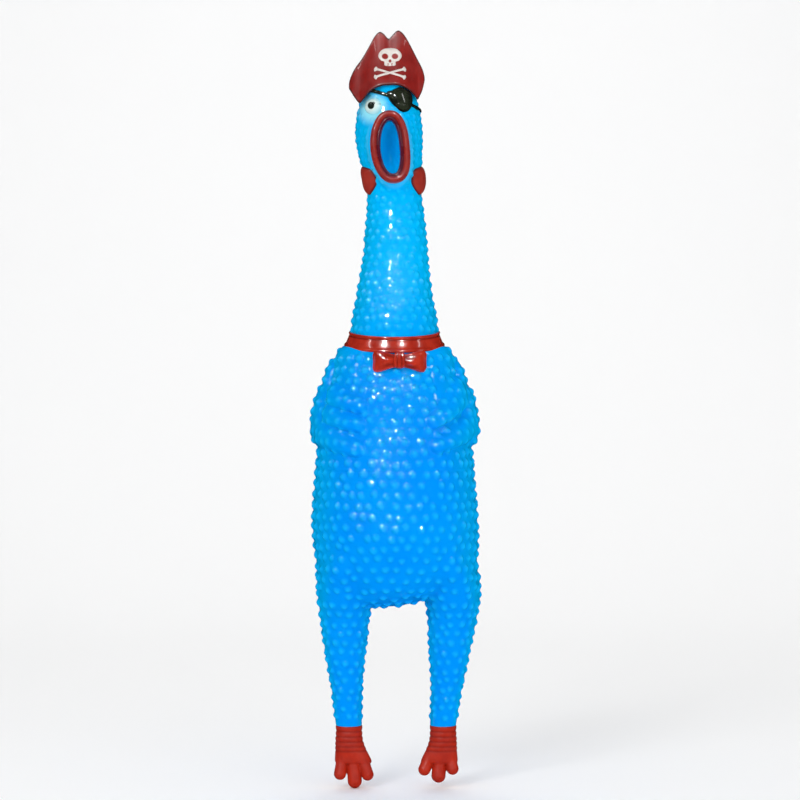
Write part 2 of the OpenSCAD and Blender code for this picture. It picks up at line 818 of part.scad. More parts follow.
place() torso_skin();
place() belly_skin();
place() wing(LEFT);  // left_wing
place() wing(RIGHT);  // right_wing
place() neck_collar();
place() bow_tie();
place() bow_knot();
place() neck_lower_skin();
place() neck_upper_skin();
place() squeaker_housing();
place() squeaker_cap();
place() reed_shallot();
place() reed_clamp();
place() reed_tongue();
place() head_skin();
place() beak_lips();
place() right_eye();
place() right_pupil();
place() eye_patch();
place() eye_patch_strap();
place() wattle(LEFT);  // left_wattle
place() wattle(RIGHT);  // right_wattle
place() hat();
place() hat_skull();
place() hat_crossbones();
place() thigh_skin(LEFT);  // left_thigh_skin
place() thigh_skin(RIGHT);  // right_thigh_skin
place() shank_skin(LEFT);  // left_shank_skin
place() shank_skin(RIGHT);  // right_shank_skin
place() foot(LEFT);  // left_foot
place() foot(RIGHT);  // right_foot
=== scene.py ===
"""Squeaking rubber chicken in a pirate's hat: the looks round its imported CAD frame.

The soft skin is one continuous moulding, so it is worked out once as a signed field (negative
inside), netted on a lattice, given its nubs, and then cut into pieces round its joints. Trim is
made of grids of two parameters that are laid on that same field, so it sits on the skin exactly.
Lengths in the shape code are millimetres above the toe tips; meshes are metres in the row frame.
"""

import json
import logging
import math
from dataclasses import dataclass, field
from enum import Enum
from typing import Callable, Optional, Union

import bmesh
import bpy
import numpy as np
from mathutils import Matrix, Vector

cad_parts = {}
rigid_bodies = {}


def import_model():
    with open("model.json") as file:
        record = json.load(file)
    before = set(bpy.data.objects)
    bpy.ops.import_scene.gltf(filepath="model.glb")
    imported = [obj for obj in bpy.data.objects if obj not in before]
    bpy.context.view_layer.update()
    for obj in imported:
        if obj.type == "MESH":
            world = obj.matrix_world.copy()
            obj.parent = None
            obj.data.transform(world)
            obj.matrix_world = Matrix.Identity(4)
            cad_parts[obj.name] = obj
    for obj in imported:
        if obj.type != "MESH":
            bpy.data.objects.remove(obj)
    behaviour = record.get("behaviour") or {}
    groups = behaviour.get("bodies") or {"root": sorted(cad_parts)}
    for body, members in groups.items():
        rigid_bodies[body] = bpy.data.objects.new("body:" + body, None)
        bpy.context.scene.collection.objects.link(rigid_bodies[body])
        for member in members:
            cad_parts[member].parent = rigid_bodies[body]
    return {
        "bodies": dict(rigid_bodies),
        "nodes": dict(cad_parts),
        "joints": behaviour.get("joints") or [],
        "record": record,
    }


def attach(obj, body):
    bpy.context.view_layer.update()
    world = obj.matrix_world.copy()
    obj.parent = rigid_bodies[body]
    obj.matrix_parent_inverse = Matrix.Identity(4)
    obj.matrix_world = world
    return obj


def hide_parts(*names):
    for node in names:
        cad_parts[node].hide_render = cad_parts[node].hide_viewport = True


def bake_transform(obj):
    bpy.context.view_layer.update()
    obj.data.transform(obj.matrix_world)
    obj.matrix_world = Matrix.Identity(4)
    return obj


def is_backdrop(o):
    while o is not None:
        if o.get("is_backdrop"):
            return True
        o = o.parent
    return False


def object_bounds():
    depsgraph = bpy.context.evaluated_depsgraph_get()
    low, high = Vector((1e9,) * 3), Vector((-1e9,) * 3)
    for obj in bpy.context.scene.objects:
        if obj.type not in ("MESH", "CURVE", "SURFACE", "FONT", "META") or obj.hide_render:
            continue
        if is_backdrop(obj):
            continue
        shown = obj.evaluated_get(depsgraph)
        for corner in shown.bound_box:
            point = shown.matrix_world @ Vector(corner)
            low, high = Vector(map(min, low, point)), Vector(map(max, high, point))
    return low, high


Array = np.ndarray
Keys = list[tuple[float, ...]]
MM = 0.001
LEFT, RIGHT = 1, -1
SIDES = ((LEFT, "left"), (RIGHT, "right"))
FAR_INSIDE = -30.0
HEAD_BEND = (218.5, 239.0)
ANKLE_BEND = (35.5, 19.0)
COLLAR_SLOPE = 0.153
WATTLE_UP = 239.6
log = logging.getLogger("rubber_chicken")


# ---------- curves and fields ----------


def hermite(u: Array, width: Union[float, Array], ends: tuple, slopes: tuple) -> Array:
    """Cubic that leaves one end and reaches the other at given slopes.

    Args:
        u: share of the way along it.
        width: its length.
        ends: its values at both ends.
        slopes: its slopes there.

    Returns:
        The values at u.
    """
    return (
        (2 * u**3 - 3 * u**2 + 1) * ends[0]
        + (u**3 - 2 * u**2 + u) * width * slopes[0]
        + (3 * u**2 - 2 * u**3) * ends[1]
        + (u**3 - u**2) * width * slopes[1]
    )


def curve(keys: Keys, t: Array, column: int = 1) -> Array:
    """Smooth curve through a column of keys: cubic Hermite pieces whose slopes are the chords
    between the neighbours of each key.

    Args:
        keys: rows that start with their place along the curve, in rising order.
        t: places to read.
        column: which column of the rows is read.

    Returns:
        The column's value at each t; beyond the ends it stays at the end's value.
    """
    rows = np.array(keys, float)
    x, y = rows[:, 0], rows[:, column]
    last = len(x) - 1
    before, after = np.maximum(np.arange(last + 1) - 1, 0), np.minimum(np.arange(last + 1) + 1, last)
    slope = (y[after] - y[before]) / (x[after] - x[before])
    t = np.clip(t, x[0], x[-1])
    i = np.clip(np.searchsorted(x, t, side="right") - 1, 0, last - 1)
    w = x[i + 1] - x[i]
    return hermite((t - x[i]) / w, w, (y[i], y[i + 1]), (slope[i], slope[i + 1]))


def ease(low: float, high: float, x: Array) -> Array:
    """0 below low, 1 above high and 3t^2 - 2t^3 between."""
    t = np.clip((x - low) / (high - low), 0, 1)
    return t * t * (3 - 2 * t)


def full_turn(count: int) -> Array:
    """Equal angles all the way round, in radians."""
    return np.linspace(0, 2 * math.pi, count, endpoint=False)


def bent(v: Array, power: float) -> Array:
    """A power of the size of v that keeps its sign, as in a superellipse."""
    return np.sign(v) * np.abs(v) ** power


def leaned(a: Array, b: Array, degrees: float) -> tuple[Array, Array]:
    """Plane coordinates turned by an angle, from the first axis towards the second."""
    c, s = math.cos(math.radians(degrees)), math.sin(math.radians(degrees))
    return a * c - b * s, b * c + a * s


def smooth_min(a: Array, b: Array, k: float) -> Array:
    """The lower of two fields, with a fillet about k wide where they are equal."""
    h = np.clip(0.5 + 0.5 * (b - a) / k, 0, 1)
    return b * (1 - h) + a * h - k * h * (1 - h)


def smooth_max(a: Array, b: Array, k: float) -> Array:
    """The higher of two fields, with a fillet about k wide where they are equal."""
    return -smooth_min(-a, -b, k)


def oval(offsets: list[Array], radii: list[Union[float, Array]]) -> Array:
    """Signed distance to an ellipse or ellipsoid, to first order: (q - 1) q / |grad q^2| / 2,
    where q is the length of the offsets over the radii."""
    q = np.sqrt(sum((o / r) ** 2 for o, r in zip(offsets, radii)))
    g = np.sqrt(sum((o / (r * r)) ** 2 for o, r in zip(offsets, radii)))
    return (q - 1) * (q + 1e-4) / (g + 1e-4 / radii[0])


def rod(a: Array, b: Array, start: tuple, end: tuple, r0: float, r1: float) -> Array:
    """Distance in a plane to a stick whose radius goes from r0 to r1, as a share of that radius.

    Args:
        a, b: the plane's coordinates of each point.
        start, end: the stick's ends.
        r0, r1: its radius there.

    Returns:
        0 on the stick's axis, 1 on its outline.
    """
    dx, dy = end[0] - start[0], end[1] - start[1]
    t = np.clip(((a - start[0]) * dx + (b - start[1]) * dy) / (dx * dx + dy * dy), 0, 1)
    return np.hypot(a - start[0] - t * dx, b - start[1] - t * dy) / (r0 + (r1 - r0) * t)


def unit(v: Array) -> Array:
    """Each row at length 1."""
    return v / np.maximum(np.linalg.norm(v, axis=1, keepdims=True), 1e-9)


Field = Callable[[Array], Array]


def gradient(shape: Field, p: Array, value: Array, step: float = 0.05) -> Array:
    """Slope of a field by one forward step along each axis."""
    return np.stack([(shape(p + step * e) - value) / step for e in np.eye(3)], axis=1)


def settle(shape: Field, p: Array, turns: int = 2) -> Array:
    """Newton steps that bring points onto the field's zero surface."""
    for _ in range(turns):
        value = shape(p)
        g = gradient(shape, p, value)
        p = p - g * np.clip(value / np.maximum((g * g).sum(1), 0.05), -1.5, 1.5)[:, None]
    return p


# ---------- lattice net ----------


def lattice(*axes: Array) -> Array:
    """Every combination of the axes' values, one row each."""
    return np.stack(np.meshgrid(*axes, indexing="ij"), -1).reshape(-1, 3)


def cell_number(cell: Array, shape: tuple) -> Array:
    """One number for each lattice cell, from its place along each axis."""
    return (cell[..., 0] * shape[1] + cell[..., 1]) * shape[2] + cell[..., 2]


def gathered(quads: Array, values: Array, count: int) -> Array:
    """Adds each face's vector to its four vertices and gives their sums."""
    return np.stack([np.bincount(quads.ravel(), np.repeat(values[:, k], 4), count) for k in range(3)], 1)


@dataclass
class Net:
    """Quads round a field's negative side.

    Attributes:
        points: one vertex for each lattice cell that the surface crosses.
        quads: four vertex numbers for each crossed lattice edge, turned outwards.
        low: the lattice's first corner.
        step: its pitch.
        shape: its number of points along each axis.
        cells: each vertex's cell, as a number in the lattice.
    """

    points: Array
    quads: Array
    low: Array
    step: float
    shape: tuple[int, int, int]
    cells: Array

    @classmethod
    def around(cls, shape: Field, low: Array, high: Array, step: float, block: int = 4) -> "Net":
        """Nets a field: a vertex sits at the mean of the crossings on its cell's edges, and is
        then settled onto the surface.

        Args:
            shape: the field, close to a distance near its surface.
            low, high: the lattice's box.
            step: the lattice's pitch.
            block: cells to a side of the blocks that are first tested as a whole.

        Returns:
            The net.
        """
        n = np.ceil((high - low) / step / block).astype(int) * block + 1
        starts = lattice(*[np.arange(0, k - 1, block) for k in n])
        middle = shape(low + (starts + block / 2) * step)
        starts = starts[np.abs(middle) < 1.6 * block * step]
        place = starts[:, None, :] + lattice(*[np.arange(block + 1)] * 3)[None]
        number = np.unique(cell_number(place.reshape(-1, 3), n))
        ijk = np.stack([number // (n[1] * n[2]), number // n[2] % n[1], number % n[2]], 1)
        values = np.full(n.prod(), np.nan, np.float32)
        values[number] = shape(low + ijk * step)
        values = values.reshape(n)
        crossings, corners = [], []
        for axis in range(3):
            a = np.take(values, np.arange(n[axis] - 1), axis)
            b = np.take(values, np.arange(1, n[axis]), axis)
            with np.errstate(invalid="ignore"):
                hit = ((a < 0) & (b >= 0)) | ((a >= 0) & (b < 0))
            edge = np.argwhere(hit)
            va, vb = a[hit], b[hit]
            spot = edge.astype(float)
            spot[:, axis] += va / (va - vb)
            ring = np.zeros((4, 3), int)
            ring[[1, 2], (axis + 1) % 3] = -1
            ring[[2, 3], (axis + 2) % 3] = -1
            cell = edge[:, None, :] + ring[None]
            cell = np.where((va < 0)[:, None, None], cell, cell[:, ::-1])
            inside = ((cell >= 0) & (cell < n - 1)).all((1, 2))
            crossings.append(spot[inside])
            corners.append(cell[inside])
        spot, cell = np.concatenate(crossings), np.concatenate(corners)
        cells, quads = np.unique(cell_number(cell, n), return_inverse=True)
        quads = quads.reshape(-1, 4)
        share = np.bincount(quads.ravel(), minlength=len(cells))
        mean = gathered(quads, spot, len(cells)) / share[:, None]
        points = settle(shape, low + mean * step)
        return cls(points, quads, low, step, tuple(n), cells)

    def raised(self, outward: Array, centres: Array, radius: Array, height: Array) -> tuple[Array, Array]:
        """Raises a round nub at each centre: its height is (1 - q^2)^1.5 at a share q of its radius.

        Args:
            outward: the surface's normal at each vertex.
            centres: the nubs' middles, on the surface.
            radius, height: of each nub.

        Returns:
            The raised points, and how far up its nub each vertex is, from 0 to 1.
        """
        table = np.full(int(np.prod(self.shape)), -1, np.int32)
        table[self.cells] = np.arange(len(self.cells))
        reach = int(math.ceil(radius.max() / self.step)) + 1
        around = lattice(*[np.arange(-reach, reach + 1)] * 3)
        home = np.floor((centres - self.low) / self.step).astype(int)
        near = np.clip(home[:, None, :] + around[None], 0, np.array(self.shape) - 1)
        near = table[cell_number(near, self.shape)]
        nub, slot = np.nonzero(near >= 0)
        vertex = near[nub, slot]
        apart = np.linalg.norm(self.points[vertex] - centres[nub], axis=1) / radius[nub]
        rise = np.clip(1 - apart**2, 0, 1) ** 1.5
        up, lift = np.zeros(len(self.cells)), np.zeros(len(self.cells))
        np.maximum.at(up, vertex, rise)
        np.maximum.at(lift, vertex, rise * height[nub])
        return self.points + outward * lift[:, None], up


# ---------- meshes ----------


def frame_place(points: Array, base: float) -> Array:
    """Millimetres above the toe tips, turned into metres in the row frame."""
    return (points + [0, 0, base]) * MM


def quad_normals(points: Array, quads: Array) -> Array:
    """Vertex normals: the sum of the cross products of each quad's diagonals."""
    a, b, c, d = (points[quads[:, k]] for k in range(4))
    return unit(gathered(quads, np.cross(c - a, d - b), len(points)))


def new_piece(name: str, points: Array, quads: Array, base: float, material: bpy.types.Material,
              slot: str, normals: Optional[Array] = None, **marks: Array) -> bpy.types.Object:
    """Makes a mesh object from arrays.

    Args:
        name: the piece's name.
        points: vertices, in millimetres above the toe tips.
        quads: four vertex numbers a face, turned outwards.
        base: height of the toe tips in the row frame, in millimetres.
        material: its finish.
        slot: the record's material slot; not used.
        normals: shading normals, where the piece meets another without a seam.
        marks: numbers at the vertices that the finish reads, by attribute name.

    Returns:
        The object, at the origin and unturned.
    """
    used, index = np.unique(quads, return_inverse=True)
    index = index.reshape(-1, 4)
    mesh = bpy.data.meshes.new(name)
    mesh.vertices.add(len(used))
    mesh.vertices.foreach_set("co", frame_place(points[used], base).astype(np.float32).ravel())
    mesh.loops.add(index.size)
    mesh.loops.foreach_set("vertex_index", index.astype(np.int32).ravel())
    mesh.polygons.add(len(index))
    mesh.polygons.foreach_set("loop_start", (np.arange(len(index)) * 4).astype(np.int32))
    mesh.update(calc_edges=True)
    mesh.polygons.foreach_set("use_smooth", np.ones(len(index), bool))
    for mark, values in marks.items():
        layer = mesh.attributes.new(mark, "FLOAT", "POINT")
        layer.data.foreach_set("value", values[used].astype(np.float32))
    if normals is not None:
        mesh.normals_split_custom_set_from_vertices(normals[used].tolist())
    mesh.materials.append(material)
    piece = bpy.data.objects.new(name, mesh)
    bpy.context.scene.collection.objects.link(piece)
    log.info("%s: %d faces", name, len(index))
    return piece


def grid_quads(rows: int, columns: int, loop_rows: bool = False, loop_columns: bool = False) -> Array:
    """Vertex numbers of a grid's faces, row by row, with either direction closed on itself."""
    i = np.arange(rows if loop_rows else rows - 1)
    j = np.arange(columns if loop_columns else columns - 1)
    i, j = np.meshgrid(i, j, indexing="ij")
    ni, nj = (i + 1) % rows, (j + 1) % columns
    corners = [i * columns + j, ni * columns + j, ni * columns + nj, i * columns + nj]
    return np.stack(corners, -1).reshape(-1, 4)


def turned_out(points: Array, quads: Array) -> Array:
    """A closed surface's quads, reversed if the volume that they enclose is negative."""
    a, b, c, d = (points[quads[:, k]] for k in range(4))
    middle = (a + b + c + d) / 4 - points.mean(0)
    return quads if (np.cross(c - a, d - b) * middle).sum() > 0 else quads[:, ::-1]


# ---------- the frame ----------


@dataclass
class Measures:
    """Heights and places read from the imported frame, in millimetres above the toe tips.

    Attributes:
        base: height of the toe tips in the row frame.
        joints: each joint's middle.
    """

    base: float
    joints: dict[str, Array]

    @classmethod
    def of(cls, frame: dict, low: Vector) -> "Measures":
        """Reads the record's joints.

        Args:
            low: the whole object's lowest corner.

        Returns:
            The measures.
        """
        base = low[2] / MM
        joints = {
            joint["name"]: np.array(joint["pos_m"]) / MM - [0, 0, base]
            for joint in frame["record"]["behaviour"]["joints"]
            if "pos_m" in joint
        }
        return cls(base, joints)

    def place(self, x: float, y: float, z: float) -> tuple[float, float, float]:
        """A point above the toe tips as metres in the row frame."""
        return (x * MM, y * MM, (z + self.base) * MM)


# ---------- the skin's shape ----------


@dataclass(frozen=True)
class Lobe:
    """One raised lobe of a folded wing: a stick in the plane of the arc round the chest and the
    height, whose section is a low rounded hump."""

    start: tuple[float, float]
    end: tuple[float, float]
    radius: tuple[float, float]
    proud: float

    def rise(self, arc: Array, z: Array) -> Array:
        """Height of the hump: proud (1 - q^2.5)^0.8, where q is the share of the radius."""
        q = rod(arc, z, self.start, self.end, *self.radius)
        return self.proud * np.clip(1 - np.clip(q, 0, 1) ** 2.5, 0, 1) ** 0.8


@dataclass
class SkinShape:
    """The moulding's smooth outer face as a signed field, negative inside.

    The body is elliptical tubes whose half widths, half depths and middles are curves of the
    height: belly with a rounded rump, neck with the head on it, and two legs. They are joined by
    fillets, the folded wings are raised on the chest, and the mouth is hollowed out.
    """

    sway: Keys = field(default_factory=lambda: [
        (25, 0.5), (50, 1.0), (75, 1.6), (91, 0.8), (104, 0.2), (130, 0), (200, 0), (211, 0.35),
        (225, 0.3), (234, -0.1), (240, -0.3), (246, -1.2), (253, -2.0), (262, -2.3), (300, -2.3)])
    belly: Keys = field(default_factory=lambda: [
        (66, 21.0, 22.0, 1.5), (75, 25.6, 24.0, 1.0), (83, 29.4, 25.6, 0.3), (91, 31.7, 27.4, -1),
        (104, 32.4, 28.9, -3), (120, 31.4, 29.0, -3), (132.6, 30.1, 27.9, -2.2), (142, 29.4, 26.2, -1.2),
        (155, 27.2, 23.3, -0.4), (164, 24.9, 20.8, 0), (170.6, 23.0, 18.6, 0), (174, 21.4, 17.5, 0),
        (180, 18.0, 16.6, 0)])
    neck: Keys = field(default_factory=lambda: [
        (165, 17.3, 17.1, 0), (180, 16.9, 16.9, 0), (186.4, 16.4, 16.3, 0), (192.8, 15.0, 14.9, 0),
        (199, 14.1, 14.0, 0), (208.6, 12.75, 12.7, 0), (218, 12.0, 11.9, 0), (224.4, 11.4, 11.2, 0),
        (230.8, 10.8, 10.6, 0), (237, 10.8, 10.7, -0.2), (243.4, 11.4, 11.7, -0.6),
        (249.8, 12.4, 13.0, -0.9), (256, 13.1, 14.0, -1), (262.4, 12.9, 14.2, -1),
        (268.8, 11.8, 13.8, -0.8), (272, 10.9, 13.3, -0.6), (277, 9.2, 11.9, -0.3), (285, 7.0, 9.5, 0)])
    leg: Keys = field(default_factory=lambda: [
        (20, 18.2, 5.0, 5.0, 0), (28, 18.9, 5.3, 5.3, 0), (37.6, 19.6, 5.9, 5.9, 0),
        (47, 20.25, 7.0, 7.0, 0), (56.6, 20.75, 8.3, 8.4, 0), (63, 21.1, 9.1, 9.6, 0),
        (69, 21.3, 9.8, 11.6, 0), (77, 21.3, 10.7, 15.8, -0.3), (84, 21.0, 10.9, 19.8, -0.8),
        (92, 20.4, 10.4, 22.5, -1.5)])
    rump_middle: float = 100.5
    rump_radii: tuple[float, float, float] = (40.0, 33.0, 29.7)
    rump_slope: float = 0.13
    rump_tuck: float = 1.2
    rump_fillet: float = 6.0
    shoulder: float = 174.9
    shoulder_fillet: float = 3.8
    crown_middle: float = 268.0
    crown_radii: tuple[float, float, float] = (13.5, 15.5, 17.0)
    hem: float = 23.7
    muzzle: tuple[float, float, float] = (0.1, -11.6, 251.5)
    muzzle_radii: tuple[float, float, float] = (9.1, 6.0, 16.0)
    mouth_back: float = 17.0
    mouth_radii: tuple[float, float, float] = (4.7, 10.5, 10.8)
    mouth_tilt: float = -1.7
    bare_mouth_x: float = -0.15
    painted_eye_x: float = -6.0
    lip_fillet: float = 0.8
    neck_fillet: float = 1.8
    leg_fillet: float = 2.6
    arms: tuple[Lobe, ...] = (
        Lobe((37, 164), (44, 151), (6.0, 12.5), 2.5), Lobe((44, 151), (45.5, 146), (12.5, 11.5), 4.1))
    feathers: dict[int, tuple[Lobe, ...]] = field(default_factory=lambda: {
        RIGHT: (
            Lobe((28, 154.8), (13.4, 151.0), (5.2, 3.1), 2.6),
            Lobe((30, 147.6), (14.0, 143.6), (5.2, 3.1), 2.8),
            Lobe((40, 142), (14.8, 134.6), (7.2, 3.5), 3.2)),
        LEFT: (
            Lobe((31, 155.5), (15.6, 144.8), (7.2, 3.1), 3.0),
            Lobe((38, 143), (16.8, 135.6), (6.4, 3.2), 3.1))})

    def straight(self, p: Array) -> tuple[Array, Array, Array]:
        """Coordinates with the body's sideways sway taken out."""
        return p[:, 0] - curve(self.sway, p[:, 2]), p[:, 1], p[:, 2]

    def chest_arc(self, x: Array, y: Array, z: Array) -> Array:
        """Distance round the chest from its front: the half width times the angle."""
        width, depth = curve(self.belly, z), curve(self.belly, z, 2)
        return width * np.arctan2(np.abs(x) / width, -(y - curve(self.belly, z, 3)) / depth)

    def feather_rise(self, x: Array, y: Array, z: Array) -> Array:
        """Height of the feathers alone, the highest lobe at each point."""
        arc = self.chest_arc(x, y, z)
        sides = {side: np.max([lobe.rise(arc, z) for lobe in lobes], 0)
                 for side, lobes in self.feathers.items()}
        return np.where(x > 0, sides[LEFT], sides[RIGHT])

    def wing_rise(self, x: Array, y: Array, z: Array) -> Array:
        """Height of the folded wings over the chest: arms and feathers, whichever is higher."""
        near = (z > 126) & (z < 178)
        rise = np.zeros(len(z))
        x, y, z = x[near], y[near], z[near]
        arc = self.chest_arc(x, y, z)
        arms = np.max([lobe.rise(arc, z) for lobe in self.arms], 0)
        rise[near] = -smooth_min(-arms, -self.feather_rise(x, y, z), 1.0)
        return rise

    def trunk(self, x: Array, y: Array, z: Array) -> Array:
        """Belly between its rounded rump and its shoulders, with the wings raised on it."""
        tube = oval([x, y - curve(self.belly, z, 3)], [curve(self.belly, z), curve(self.belly, z, 2)])
        below = z - self.rump_middle
        tucked = below - (self.rump_slope * x + self.rump_tuck) * ease(-5, -20, below)
        rump = oval([x, y, tucked], list(self.rump_radii)) - 9 * ease(-9, 0, below)
        body = smooth_max(tube, np.where(below < 0, rump, FAR_INSIDE), self.rump_fillet)
        return smooth_max(body - self.wing_rise(x, y, z), z - self.shoulder, self.shoulder_fillet)

    def throat(self, x: Array, y: Array, z: Array) -> Array:
        """Neck and head up to the crown, with the muzzle's low mound."""
        middle = curve(self.neck, z, 3)
        tube = oval([x, y - middle], [curve(self.neck, z), curve(self.neck, z, 2)])
        crown = oval([x, y, z - self.crown_middle], list(self.crown_radii))
        head = smooth_max(tube, np.where(z > self.crown_middle, crown, FAR_INSIDE), 3)
        offsets = [x - self.muzzle[0], y - self.muzzle[1], z - self.muzzle[2]]
        mound = oval(offsets, list(self.muzzle_radii))
        return smooth_max(smooth_min(head, mound, 2.5), 160 - z, 2)

    def shin(self, x: Array, y: Array, z: Array) -> Array:
        """Either leg, from its hem inside the foot to where it is lost in the belly."""
        tube = oval([np.abs(x) - curve(self.leg, z), y - curve(self.leg, z, 4)],
                    [curve(self.leg, z, 2), curve(self.leg, z, 3)])
        return smooth_max(smooth_max(tube, self.hem - z, 1.5), z - 96, 12)

    def closed(self, p: Array) -> Array:
        """The field with its mouth still shut."""
        x, y, z = self.straight(p)
        body = smooth_min(self.trunk(x, y, z), self.throat(x, y, z), self.neck_fillet)
        return smooth_min(body, self.shin(x, y, z), self.leg_fillet)

    def mouth(self, p: Array) -> Array:
        """The open mouth's hollow: an ellipsoid that leans with the head."""
        x, y, z = self.straight(p)
        across, up = leaned(x - self.muzzle[0], z - self.muzzle[2], -self.mouth_tilt)
        return oval([across, y + self.mouth_back, up], list(self.mouth_radii))

    def __call__(self, p: Array) -> Array:
        """The whole field."""
        return smooth_max(self.closed(p), -self.mouth(p), self.lip_fillet)

    def hit(self, start: Array, way: Array, far: float = 46) -> Array:
        """Points where rays from inside the closed skin leave it, by halving.

        Args:
            start: a point inside for each ray.
            way: each ray's direction.
            far: a length that reaches outside.

        Returns:
            The points on the skin.
        """
        near, end = np.zeros(len(start)), np.full(len(start), float(far))
        for _ in range(22):
            half = (near + end) / 2
            outside = self.closed(start + way * half[:, None]) > 0
            near, end = np.where(outside, near, half), np.where(outside, half, end)
        return start + way * end[:, None]

    def front(self, x: Array, z: Array) -> Array:
        """Points on the skin's front at each x and height."""
        x, z = np.broadcast_arrays(np.asarray(x, float), np.asarray(z, float))
        start = np.stack([x.ravel(), np.zeros(x.size), z.ravel()], 1)
        return self.hit(start, np.tile([0.0, -1.0, 0.0], (x.size, 1)))

    def round_axis(self, angle: Array, z: Array) -> Array:
        """Points on the skin at an angle from the front, towards the chicken's left, and a height."""
        start = np.stack([curve(self.sway, z), curve(self.neck, z, 3), z], 1)
        way = np.stack([np.sin(angle), -np.cos(angle), np.zeros(len(z))], 1)
        return self.hit(start, way)

    def outward(self, p: Array) -> Array:
        """Unit normals of the closed skin."""
        return unit(gradient(self.closed, p, self.closed(p)))


# ---------- nubs ----------


